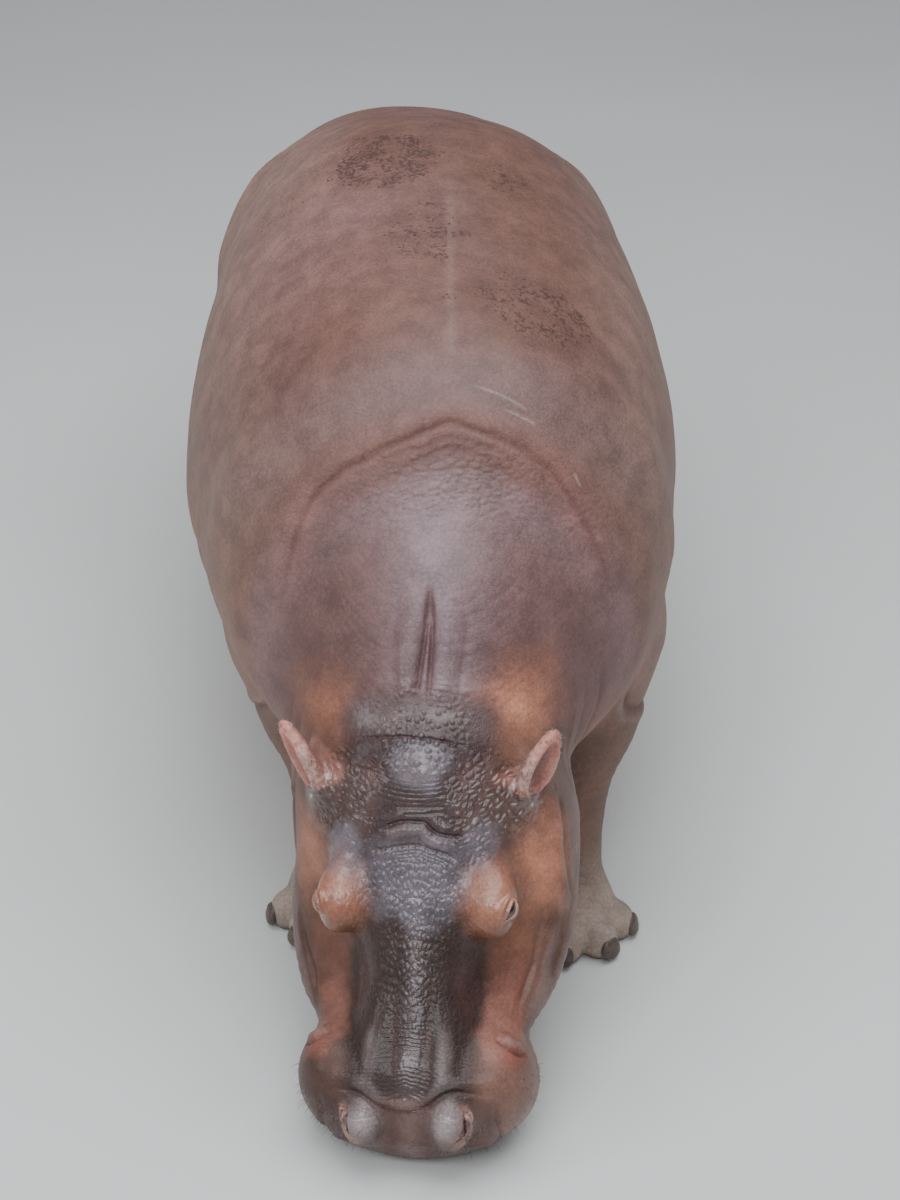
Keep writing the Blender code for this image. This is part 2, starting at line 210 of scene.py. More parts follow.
def hind_leg(side):
    x, y = HIND_SOLE
    return [Ball((side * 0.275, 0.84, 0.66), (0.195, 0.30, 0.36), 0.08, tilt=-10),
            Limb([((side * 0.32, 0.76, 0.58), 0.20), ((side * 0.33, 0.86, 0.42), 0.160),
                  ((side * (x + 0.005), y + 0.06, 0.29), 0.112), ((side * x, y + 0.02, 0.12), 0.104)], 0.07)]


def foot_frame(end, side):
    if end == "fore":
        x, y = FORE_SOLE
        return (Matrix.Translation((side * x, y + (0 if side > 0 else FORE_STEP_BACK), 0))
                @ turned(side * FORE_TURN, "Z"))
    return Matrix.Translation((side * HIND_SOLE[0], HIND_SOLE[1], 0)) @ turned(side * HIND_TURN, "Z")


def foot(end, side):
    frame = foot_frame(end, side)
    toes = [frame @ turned(angle, "Z") for angle in TOE_ANGLES]
    return [Ball((0, 0.015, 0.055), (0.105, 0.118, 0.085), 0.04, frame)] + [
        Ball((0, -0.094, 0.036), (0.041, 0.047, 0.050), 0.015, toe) for toe in toes]


def ear_frame(side):
    """Starts at the ear's root: z to the tip, -y out of the cup, x across it."""
    return (HEAD @ Matrix.Translation((side * 0.208, -0.088, -0.075)) @ turned(side * 34, "Y")
            @ turned(-49, "X") @ turned(side * 26, "Z"))


def head_masses():
    jaws = [(-0.762, -0.175, 0.150, 0.060, 0.055), (-0.722, -0.18, 0.188, 0.088, 0.088),
            (-0.645, -0.195, 0.213, 0.112, 0.117), (-0.55, -0.21, 0.205, 0.098, 0.155),
            (-0.46, -0.245, 0.248, 0.105, 0.17), (-0.34, -0.265, 0.280, 0.140, 0.175),
            (-0.22, -0.26, 0.284, 0.185, 0.21), (-0.10, -0.25, 0.272, 0.22, 0.22),
            (0.05, -0.25, 0.20, 0.21, 0.18)]
    bridge = [(-0.700, -0.14, 0.14, 0.075, 0.08), (-0.66, -0.14, 0.150, 0.092, 0.08),
              (-0.58, -0.15, 0.135, 0.103, 0.08), (-0.48, -0.16, 0.115, 0.112, 0.08),
              (-0.38, -0.16, 0.125, 0.118, 0.08), (-0.28, -0.16, 0.168, 0.130, 0.10),
              (-0.14, -0.17, 0.195, 0.155, 0.10), (-0.02, -0.18, 0.175, 0.170, 0.10),
              (0.08, -0.20, 0.14, 0.17, 0.10)]
    masses = [Barrel(jaws, 0.05, HEAD, 2.3), Barrel(bridge, 0.07, HEAD, 2.5),
              Ball((0, -0.59, -0.28), (0.13, 0.09, 0.060), 0.05, HEAD),
              Ball((0, -0.700, -0.165), (0.185, 0.102, 0.082), 0.04, HEAD)]
    for s in (1, -1):
        masses += [Ball((s * 0.154, -0.640, -0.175), (0.084, 0.100, 0.112), 0.035, HEAD),   # lip lobe
                   Ball((s * 0.086, -0.727, -0.098), (0.042, 0.056, 0.046), 0.018, HEAD),   # nostril
                   Ball((s * 0.152, -0.300, -0.070), (0.050, 0.068, 0.046), 0.045, HEAD),   # eye mound
                   Ball((s * 0.17, -0.13, -0.34), (0.10, 0.16, 0.14), 0.06, HEAD),          # jaw angle
                   Ball((0, 0, 0.075), (0.045, 0.024, 0.085), 0.03, ear_frame(s)),          # ear
                   Ball((0, -0.024, 0.082), (0.031, 0.026, 0.064), 0.010, ear_frame(s), carve=True),
                   Ball((s * 0.113, -0.735, -0.078), (0.009, 0.024, 0.018), 0.008, HEAD, carve=True)]
    return masses


def tail_masses():
    return [Limb([((0.01, 1.23, 0.985), 0.062), ((0.01, 1.385, 0.935), 0.046), ((0.01, 1.46, 0.80), 0.034),
                  ((0.01, 1.46, 0.64), 0.020)], 0.035)]


# ---------------------------------------------------------------- growing the skin
GRID = 0.012                # spacing of the grid that the first skin is drawn on
COARSE = 3                  # the far field is first read every third step


def whole_distance(masses, points):
    total = np.full(len(points), 9.0)
    for mass in masses:
        low, high = mass.reach()
        edge = 3 * mass.blend + 0.03
        near = ((points > low - edge) & (points < high + edge)).all(axis=1)
        if near.any():
            d = mass.distance(points[near])
            sign = -1 if mass.carve else 1
            total[near] = sign * smooth_union(sign * total[near], d, mass.blend)
    return total


def first_skin(masses):
    """Points and triangles of the masses' joined surface, on an even grid read finely near it."""
    low = np.min([mass.reach()[0] for mass in masses], axis=0) - 4 * GRID
    high = np.max([mass.reach()[1] for mass in masses], axis=0) + 4 * GRID
    size = np.ceil((high - low) / (COARSE * GRID)).astype(int)
    steps = [np.arange(n) + (COARSE - 1) / (2 * COARSE) for n in size]
    place = np.stack(np.meshgrid(*steps, indexing="ij"), axis=-1)
    values = whole_distance(masses, place.reshape(-1, 3) * COARSE * GRID + low).reshape(size)
    for axis in range(3):
        values = np.repeat(values, COARSE, axis=axis)
    near = np.argwhere(np.abs(values) < 2.6 * COARSE * GRID)
    values[tuple(near.T)] = whole_distance(masses, near * GRID + low)
    grid = openvdb.FloatGrid(1.0)
    grid.copyFromArray(np.ascontiguousarray(values, np.float32))
    points, quads = grid.convertToQuads(0.0)
    faces = np.concatenate([quads[:, [0, 1, 2]], quads[:, [0, 2, 3]]]).astype(np.int64)
    return points.astype(float) * GRID + low, faces


def corner_normals(points, faces):
    a, b, c = points[faces[:, 0]], points[faces[:, 1]], points[faces[:, 2]]
    across = np.cross(b - a, c - a)
    total = np.column_stack([sum(np.bincount(faces[:, k], across[:, i], len(points)) for k in range(3))
                             for i in range(3)])
    return total / np.maximum(np.linalg.norm(total, axis=1), 1e-12)[:, None]


def relaxed(points, faces, share, along=None):
    """Each point moved a share of the way to its neighbours' middle, only along the surface if given."""
    count = len(points)
    degree = np.zeros(count)
    around = np.zeros((count, 3))
    for k in range(3):
        a, b = faces[:, k], faces[:, (k + 1) % 3]
        degree += np.bincount(a, minlength=count)
        around += np.column_stack([np.bincount(a, points[b, i], count) for i in range(3)])
    slide = around / np.maximum(degree, 1)[:, None] - points
    if along is not None:
        slide -= along * (slide * along).sum(axis=1)[:, None]
    return points + slide * np.reshape(share, (-1, 1))


def settled(points, faces, masses, rounds):
    """Each point brought onto the masses' joined surface, sliding so that the mesh stays even."""
    for turn in range(rounds):
        normals = corner_normals(points, faces)
        points = points - normals * np.clip(whole_distance(masses, points), -0.03, 0.03)[:, None] * 0.9
        if turn < rounds - 1:
            points = relaxed(points, faces, 0.5, normals)
    return points


def refined(points, faces, wanted):
    """Every edge longer than wanted at its middle is halved, and its triangles are split to match."""
    ends = np.sort(np.concatenate([faces[:, [0, 1]], faces[:, [1, 2]], faces[:, [2, 0]]]), axis=1)
    _, first, inverse = np.unique(ends[:, 0] * len(points) + ends[:, 1], return_index=True,
                                  return_inverse=True)
    a, b = ends[first].T
    middle = (points[a] + points[b]) / 2
    long = np.linalg.norm(points[a] - points[b], axis=1) > wanted(middle)
    new = np.full(len(first), -1)
    new[long] = len(points) + np.arange(long.sum())
    halves = new[inverse.reshape(3, -1)].T
    points = np.concatenate([points, middle[long]])
    split = (halves >= 0).sum(axis=1)
    made = [faces[split == 0]]
    for k in range(3):
        turn = [k, (k + 1) % 3, (k + 2) % 3]
        f, h = faces[:, turn], halves[:, turn]
        one = (split == 1) & (h[:, 0] >= 0)
        made += [np.column_stack([f[one, 0], h[one, 0], f[one, 2]]),
                 np.column_stack([h[one, 0], f[one, 1], f[one, 2]])]
        two = (split == 2) & (h[:, 2] < 0)
        made += [np.column_stack([h[two, 0], f[two, 1], h[two, 1]]),
                 np.column_stack([f[two, 0], h[two, 0], h[two, 1]]),
                 np.column_stack([f[two, 0], h[two, 1], f[two, 2]])]
    f, h = faces[split == 3], halves[split == 3]
    made += [np.column_stack([f[:, k], h[:, k], h[:, k - 1]]) for k in range(3)] + [h]
    return points, np.concatenate(made)


def mesh_of(name, points, faces, smooth=True):
    """A triangle mesh straight from arrays."""
    mesh = bpy.data.meshes.new(name)
    mesh.vertices.add(len(points))
    mesh.vertices.foreach_set("co", np.asarray(points, np.float32).ravel())
    mesh.loops.add(faces.size)
    mesh.loops.foreach_set("vertex_index", faces.astype(np.int32).ravel())
    mesh.polygons.add(len(faces))
    mesh.polygons.foreach_set("loop_start", np.arange(0, faces.size, 3, dtype=np.int32))
    mesh.polygons.foreach_set("use_smooth", np.full(len(faces), smooth))
    mesh.update(calc_edges=True)
    mesh.validate()
    return mesh


# ---------------------------------------------------------------- noise
def hashed(cell, seed):
    """A number from 0 to 1 for each whole-numbered cell, always the same for the same cell and seed."""
    x, y, z = (cell[..., i].astype(np.int64) for i in range(3))
    h = (x * 73856093) ^ (y * 19349663) ^ (z * 83492791) ^ (seed * 2654435761)
    h = ((h ^ (h >> 13)) * 1274126177) & 0x7FFFFFFF
    return ((h ^ (h >> 15)) & 0xFFFFF) / 0xFFFFF


def noise(points, size, seed=0):
    """Smooth noise from -1 to 1 with lumps about as wide as size."""
    q = points / size
    cell = np.floor(q)
    t = q - cell
    t = t * t * (3 - 2 * t)
    total = 0
    for i in (0, 1):
        for j in (0, 1):
            for k in (0, 1):
                weight = np.abs(1 - i - t[:, 0]) * np.abs(1 - j - t[:, 1]) * np.abs(1 - k - t[:, 2])
                total = total + weight * hashed(cell + (i, j, k), seed)
    return 2 * total - 1


def layered(points, size, seed=0, layers=3):
    return sum(noise(points, size / 2**i, seed + i) / 2**i for i in range(layers)) / 1.75


def cells(points, size, seed=0, jitter=0.8):
    """Distances to the nearest and second nearest of scattered seeds, in units of their spacing."""
    q = points / size
    base = np.floor(q)
    near = np.full(len(q), 9.0)
    next_one = np.full(len(q), 9.0)
    for i in (-1, 0, 1):
        for j in (-1, 0, 1):
            for k in (-1, 0, 1):
                cell = base + (i, j, k)
                chance = np.stack([hashed(cell, seed + n) for n in range(3)], axis=1)
                seed_at = cell + 0.5 + jitter * (chance - 0.5)
                d = np.linalg.norm(seed_at - q, axis=1)
                next_one = np.minimum(next_one, np.maximum(d, near))
                near = np.minimum(near, d)
    return near, next_one


def step_up(value, low, high):
    """0 below low, 1 above high, smooth between. Low may be the larger."""
    t = np.clip((value - low) / (high - low), 0, 1)
    return t * t * (3 - 2 * t)


def hump(value, width):
    return np.exp(-((value / width) ** 2))


def inside(points, low, high):
    """Which points lie in a box."""
    return np.flatnonzero(((points > low) & (points < high)).all(axis=1))


def mirrored(line, s):
    """A line for the left side as it is, or mirrored to the right where s is -1."""
    return [(s * x, y, z) for x, y, z in line]


# ---------------------------------------------------------------- the skin as arrays
SLOPE_STEP = 0.002          # how far apart the masses' distance is read for its slope


class Skin:
    """The hide while it is worked: its points, its triangles and a lift along the normal for each point."""

    def __init__(self, masses):
        self.masses = masses
        self.points, self.faces = first_skin(masses)
        self.points = settled(self.points, self.faces, masses, 4)
        for fineness in (body_fineness, head_fineness, head_fineness, head_fineness):
            self.points, self.faces = refined(self.points, self.faces, fineness)
            self.points = settled(self.points, self.faces, masses, 3)
        self.points[:, 2] = np.maximum(self.points[:, 2], 0)
        self.read()

    def read(self):
        self.normals = corner_normals(self.points, self.faces)
        self.lift = np.zeros(len(self.points))
        self.head = placed(self.points, HEAD.inverted())
        self.trunk = placed(self.points, TRUNK.inverted())

    def press(self):
        """Applies the lift gathered so far, and starts again from the new surface."""
        self.points = self.points + self.normals * self.lift[:, None]
        self.read()

    def onto(self, points):
        """Points brought onto the smooth surface by its slope."""
        points = np.array(points, float)
        for _ in range(4):
            d = whole_distance(self.masses, points)
            moved = [whole_distance(self.masses, points + SLOPE_STEP * axis) for axis in np.eye(3)]
            slope = (np.column_stack(moved) - d[:, None]) / SLOPE_STEP
            steep = np.maximum((slope**2).sum(axis=1), 0.2)
            points -= np.clip(d, -0.05, 0.05)[:, None] * slope / steep[:, None]
        return points


def curve_through(points, spacing=0.004):
    """A smooth line through points, as evenly spaced points."""
    p = np.array(points, float)
    ends = np.concatenate([[2 * p[0] - p[1]], p, [2 * p[-1] - p[-2]]])
    made = []
    for a, b, c, d in zip(ends, ends[1:], ends[2:], ends[3:]):
        count = max(2, int(np.linalg.norm(c - b) / spacing))
        t = (np.arange(count) / count)[:, None]
        made.append(0.5 * (2 * b + (c - a) * t + (2 * a - 5 * b + 4 * c - d) * t**2
                           + (3 * b - a - 3 * c + d) * t**3))
    return np.concatenate(made + [p[-1:]])


def beside(skin, line, reach):
    """The skin's points near a line: which, how far across it (signed) and how far along it, 0 to 1."""
    near = inside(skin.points, line.min(0) - reach, line.max(0) + reach)
    best, index = np.full(len(near), 9.0), np.zeros(len(near), int)
    for part in np.array_split(np.arange(len(near)), max(1, len(near) * len(line) // 4000000)):
        d = np.linalg.norm(skin.points[near[part]][:, None] - line[None], axis=2)
        index[part] = d.argmin(axis=1)
        best[part] = d.min(axis=1)
    keep = best < reach
    near, best, index = near[keep], best[keep], index[keep]
    tangent = np.gradient(line, axis=0)
    tangent /= np.linalg.norm(tangent, axis=1)[:, None]
    side = np.cross(tangent[index], skin.normals[near])
    away = ((skin.points[near] - line[index]) * side).sum(axis=1)
    return near, away, index / (len(line) - 1)


def fold(skin, points, width, depth, ridge=0.0, fade=0.15, frame=Matrix(), waver=0.0):
    """A crease along a line over the skin, with a ridge on the side to the right of the way it runs."""
    line = curve_through(skin.onto(placed(np.array(points, float), frame)))
    near, across, along = beside(skin, line, 6 * width)
    if waver:
        across = across + waver * noise(skin.points[near], 6 * width, 5)
    ends = step_up(np.minimum(along, 1 - along), 0, fade)
    skin.lift[near] += ends * (ridge * hump(across - 2.2 * width, 1.6 * width) - depth * hump(across, width))
    return near, across, along


# ---------------------------------------------------------------- how fine the mesh is
def body_fineness(points):
    """Longest edge wanted at each place: fine over the neck, the legs and the head."""
    head = placed(points, HEAD.inverted())
    wanted = np.full(len(points), 0.0120)
    wanted = np.where((points[:, 1] < -0.66) & (points[:, 2] > 0.45), 0.0080, wanted)
    nape = (np.abs(points[:, 0] + 0.03) < 0.36) & (points[:, 1] < -0.69) & (points[:, 2] > 0.78)
    wanted = np.where(nape, 0.0050, wanted)
    wanted = np.where((points[:, 2] < 0.40) & (points[:, 1] > -1.0), 0.0075, wanted)
    wanted = np.where(points[:, 1] > 1.33, 0.0065, wanted)
    return np.where((head[:, 1] < 0.12) & (head[:, 2] > -0.42), np.minimum(wanted, 0.0068), wanted)


def head_fineness(points):
    """Finer still in front of the head: over brow, nose and ears, and most of all round eyes and nostrils."""
    head = placed(points, HEAD.inverted())
    wanted = body_fineness(points)
    front = (head[:, 1] < 0.11) & (head[:, 2] > -0.20)
    wanted = np.where(front, 0.0040, wanted)
    brow = (np.abs(head[:, 0]) < 0.24) & (head[:, 1] < 0.13) & (head[:, 1] > -0.22) & (head[:, 2] > -0.12)
    wanted = np.where(brow, 0.0030, wanted)
    nose = (np.abs(head[:, 0]) < 0.14) & (head[:, 1] < -0.20) & (head[:, 2] > -0.12)
    wanted = np.where(nose, 0.0030, wanted)
    for s in (1, -1):
        wanted = np.where(np.linalg.norm(head - (s * EYE[0], EYE[1], EYE[2]), axis=1) < 0.055, 0.0019, wanted)
        wanted = np.where(np.linalg.norm(head - (s * 0.10, -0.735, -0.09), axis=1) < 0.055, 0.0022, wanted)
        ear = placed(points, ear_frame(s).inverted())
        wanted = np.where((ear[:, 2] > -0.01) & (np.abs(ear[:, 0]) < 0.06) & (np.abs(ear[:, 1]) < 0.05),
                          0.0030, wanted)
    return wanted


def whole_masses():
    masses = trunk_masses() + neck_masses()
    for s in (1, -1):
        masses += fore_leg(s) + hind_leg(s) + foot("fore", s) + foot("hind", s)
    return masses + head_masses() + tail_masses()


# ---------------------------------------------------------------- folds and wrinkles
SHOULDER_CREASE = [(0.340, -0.834, 0.851), (0.314, -0.828, 0.942), (0.273, -0.804, 1.046),
                   (0.214, -0.769, 1.143), (0.135, -0.750, 1.203), (0.075, -0.737, 1.231),
                   (0.006, -0.726, 1.249), (-0.044, -0.732, 1.243), (-0.134, -0.750, 1.209),
                   (-0.244, -0.760, 1.149), (-0.295, -0.782, 1.083), (-0.327, -0.813, 0.997),
                   (-0.356, -0.849, 0.831)]


def nostril_slit(s):
    """The crescent down the outer side of a nostril's mound, from behind to in front."""
    across, along = (-0.004, 0.012) if s > 0 else (0, 0)
    crescent = ((0.108, -0.700, -0.070), (0.114, -0.718, -0.080), (0.112, -0.738, -0.085),
                (0.102, -0.758, -0.085), (0.086, -0.772, -0.085))
    return [(s * (x + across), y + along, z) for x, y, z in crescent]


def mouth_level(y):
    """Height of the closed mouth's line at a place along the head."""
    return np.interp(y, [-0.80, -0.60, -0.45, -0.30, -0.14], [-0.250, -0.250, -0.262, -0.295, -0.360])


def ripples(value, spacing):
    """Rounded folds across a value: 0 in each crease, 1 on top of each fold."""
    return np.abs(np.sin(value * math.pi / spacing)) ** 0.6


def roll(skin, points, offset, width, height, fade=0.3, frame=Matrix()):
    """A soft raised band beside a line, offset to the right of the way it runs."""
    line = curve_through(skin.onto(placed(np.array(points, float), frame)), 0.01)
    near, across, along = beside(skin, line, abs(offset) + 2.5 * width)
    skin.lift[near] += height * hump(across - offset, width) * step_up(np.minimum(along, 1 - along), 0, fade)


def within(p, low, high, soft=0.03):
    """1 inside a box, fading to 0 over soft."""
    low, high = np.array(low), np.array(high)
    return np.prod(step_up(p, low - soft, low + soft) * step_up(p, high + soft, high - soft), axis=1)


# Long swells and one hollow on the left side, each (line, width, height).
FLESH_ROLLS = (
    ([(0.44, 0.34, 0.90), (0.50, 0.44, 0.66), (0.44, 0.56, 0.47)], 0.050, 0.012),
    ([(0.30, 0.80, 1.18), (0.37, 0.70, 1.02), (0.42, 0.62, 0.84)], 0.070, 0.014),
    ([(0.33, -0.62, 1.15), (0.42, -0.55, 0.95), (0.42, -0.52, 0.70)], 0.090, 0.014),
    ([(0.46, -0.28, 0.95), (0.50, -0.27, 0.72), (0.42, -0.28, 0.52)], 0.045, -0.012),
)


def body_forms(skin):
    """The slow swells and hollows of flesh under the hide, and the folds and wrinkles down its sides."""
    p = skin.points
    feet = step_up(p[:, 2], 0.10, 0.35)
    head = step_up(skin.head[:, 1], 0.0, 0.25)
    skin.lift += feet * head * (0.0050 * layered(p, 0.30, 31, 2) + 0.0016 * layered(p, 0.09, 33, 2))
    for s in (1, -1):
        for line, width, height in FLESH_ROLLS:
            roll(skin, mirrored(line, s), 0.0, width, height)
        for y, top, foot_end, depth in ((0.28, 0.86, 0.50, 0.0060), (0.21, 0.78, 0.46, 0.0045),
                                        (0.13, 0.70, 0.44, 0.0035), (-0.13, 0.74, 0.46, 0.0045),
                                        (-0.06, 0.66, 0.44, 0.0035)):
            lean = 0.10 if y > 0 else -0.06
            line = [(0.45, y + lean, top), (0.50, y + 0.3 * lean, (top + foot_end) / 2),
                    (0.43, y - 0.2 * lean, foot_end)]
            fold(skin, mirrored(line, s), 0.014, depth, ridge=0.6 * depth, fade=0.45, waver=0.010)
        for lift, depth in ((0.0, 0.0060), (0.09, 0.0045), (0.18, 0.0035)):
            line = [(0.12, 1.27, 0.62 + lift), (0.26, 1.22, 0.60 + lift), (0.38, 1.08, 0.60 + lift),
                    (0.45, 0.92, 0.64 + lift)]
            fold(skin, mirrored(line, s), 0.016, depth, ridge=0.5 * depth, fade=0.5, waver=0.012)
        bend = p[:, 1] + 0.25 * p[:, 2] + 0.030 * layered(p, 0.16, 35, 2)
        for y, z, reach in ((-0.20, 0.62, 0.17), (0.30, 0.62, 0.17), (-0.56, 0.70, 0.13), (0.98, 0.72, 0.16),
                            (0.62, 0.60, 0.14)):
            spot = hump(np.hypot(p[:, 1] - y, 0.7 * (p[:, 2] - z)), reach) * step_up(s * p[:, 0], 0.15, 0.30)
            skin.lift += (ripples(bend, 0.036) - 1) * 0.0028 * spot * (0.55 + 0.6 * noise(p, 0.07, 36))
        for y in (-0.40, -0.52):
            line = [(0.43, y, 0.98), (0.48, y + 0.02, 0.80), (0.47, y + 0.03, 0.62)]
            fold(skin, mirrored(line, s), 0.016, 0.0032, ridge=0.0016, fade=0.5, waver=0.012)
    skin.press()


def neck_folds(skin):
    """The crease over the shoulders, the grooves down the nape and the fine folds of neck and throat."""
    arch = SHOULDER_CREASE
    fold(skin, arch, 0.0080, 0.0042, fade=0.4, waver=0.008)
    roll(skin, arch, 0.030, 0.024, 0.0075, fade=0.4)
    roll(skin, arch, -0.050, 0.034, -0.004, fade=0.4)
    fold(skin, [(x * 0.93, y - 0.022, z - 0.012) for x, y, z in arch[2:-2]], 0.0055, 0.0024, fade=0.4,
         waver=0.010)
    fold(skin, [(x * 0.88, y - 0.046, z - 0.026) for x, y, z in arch[3:-3]], 0.0050, 0.0018, fade=0.4,
         waver=0.012)
    nape = [(-0.052, -0.945, 1.03), (-0.054, -0.976, 0.997), (-0.059, -1.018, 0.931), (-0.069, -1.054, 0.861),
            (-0.078, -1.091, 0.810)]
    for side in (1, -1):
        fold(skin, [(x - side * 0.013 * (-0.945 - y) / 0.12, y, z) for x, y, z in nape], 0.0065, 0.0125,
             fade=0.35)
        roll(skin, nape, side * 0.036, 0.020, 0.010, fade=0.45)
    fold(skin, [(-0.115, -0.965, 0.98), (-0.125, -1.02, 0.90), (-0.128, -1.07, 0.82)], 0.010, 0.005, fade=0.4)
    fold(skin, [(0.020, -0.965, 0.99), (0.010, -1.03, 0.91), (-0.010, -1.09, 0.81)], 0.010, 0.004, fade=0.4)
    p = skin.points
    neck = (step_up(p[:, 1], -0.70, -0.78) * step_up(p[:, 2], 0.55, 0.75)
            * step_up(skin.head[:, 1], 0.03, 0.12))
    near = np.flatnonzero(neck > 0.01)
    q = p[near]
    down = q[:, 1] * 0.55 - q[:, 2] * 0.83 + 0.010 * noise(q, 0.10, 41) + 0.003 * noise(q, 0.03, 42)
    fine = ripples(down, 0.0125)
    broken = step_up(noise(q * (1, 2, 2), 0.09, 43), -0.4, 0.5)
    skin.lift[near] += (neck[near] * (fine - 1) * 0.0012 * (0.15 + broken)
                        * (0.40 + 0.60 * hump(q[:, 0] + 0.03, 0.13)))
    cracked = hump(q[:, 1] + 0.80, 0.060) * hump(q[:, 0], 0.20)
    first, second = cells(q * (0.6, 1.6, 1) + 0.006 * noise(q, 0.03, 44)[:, None], 0.016, 45)
    skin.lift[near] += neck[near] * cracked * (step_up(second - first, 0.0, 0.4) - 0.8) * 0.0024
    for s, drop in ((1, 0.0), (-1, 0.02)):
        for n, turn in enumerate((0.0, 0.07, 0.14)):
            throat = [(0.25, -0.86 - turn, 0.86 - drop),
                      (0.315, -0.88 - turn * 0.8, 0.70 - drop - turn * 0.4),
                      (0.27, -0.86 - turn * 0.7, 0.55 - turn * 0.6),
                      (0.12, -0.82 - turn * 0.7, 0.45 - turn * 0.7)]
            fold(skin, mirrored(throat, s), 0.010, 0.0045 - 0.001 * n, ridge=0.002, fade=0.4, waver=0.006)


# Where the left legs meet the body, each (line, width, depth, ridge, waver).
LEG_CREASES = (
    ([(0.48, -0.14, 0.60), (0.44, -0.25, 0.49), (0.36, -0.34, 0.41), (0.24, -0.38, 0.37)],
     0.012, 0.012, 0.008, 0.004),
    ([(0.47, -0.74, 0.55), (0.44, -0.70, 0.50), (0.42, -0.55, 0.47), (0.40, -0.42, 0.47)],
     0.010, 0.007, 0.005, 0.005),
    ([(0.20, -0.84, 0.52), (0.30, -0.84, 0.50), (0.40, -0.78, 0.50)], 0.010, 0.006, 0.004, 0.004),
    ([(0.50, 0.42, 0.56), (0.47, 0.55, 0.46), (0.40, 0.62, 0.40), (0.26, 0.62, 0.37)],
     0.012, 0.010, 0.008, 0.004),
    ([(0.46, 0.62, 0.56), (0.50, 0.74, 0.50), (0.48, 0.90, 0.47)], 0.010, 0.005, 0.003, 0.004),
    ([(0.30, 1.13, 0.48), (0.40, 1.06, 0.46), (0.46, 0.94, 0.45)], 0.010, 0.006, 0.004, 0.004),
)


def leg_wrinkles(skin):
    """Rings of folds round wrists and heels, and the creases where the legs meet the body."""
    p = skin.points
    for s in (1, -1):
        back = 0 if s > 0 else FORE_STEP_BACK
        wrist = FORE_SOLE[0], FORE_SOLE[1] + back + 0.05
        for (x, y), rings in ((wrist, ((0.155, 0.03, 0.017), (0.335, 0.07, 0.024))),
                              (HIND_SOLE, ((0.160, 0.03, 0.018), (0.34, 0.06, 0.026)))):
            leg = within(p, (s * x - 0.24, y - 0.28, 0.05), (s * x + 0.24, y + 0.28, 0.50))
            for height, band, spacing in rings:
                slant = 0.25 * (1 if height > 0.2 else -0.3)
                level = p[:, 2] + slant * (p[:, 1] - y) + 0.008 * noise(p, 0.06, 51)
                skin.lift += (leg * hump(p[:, 2] - height, band) * (ripples(level, spacing) - 1) * 0.0042
                              * (0.6 + 0.4 * noise(p, 0.08, 52)))
        for line, width, depth, ridge, waver in LEG_CREASES:
            fold(skin, mirrored(line, s), width, depth, ridge=ridge, waver=waver)
        fold(skin, [(s * 0.05, 1.22, 0.78), (s * 0.09, 1.27, 0.62), (s * 0.16, 1.20, 0.46)], 0.012, 0.010,
             fade=0.3)


def tail_wrinkles(skin):
    """Slanting rings round the tail."""
    p = skin.points
    tail = step_up(p[:, 1], 1.355, 1.39) * hump(p[:, 0] - 0.01, 0.10)
    level = p[:, 2] + 0.5 * p[:, 1] + 0.004 * noise(p, 0.03, 61)
    skin.lift += tail * (ripples(level, 0.016) - 1) * 0.0020


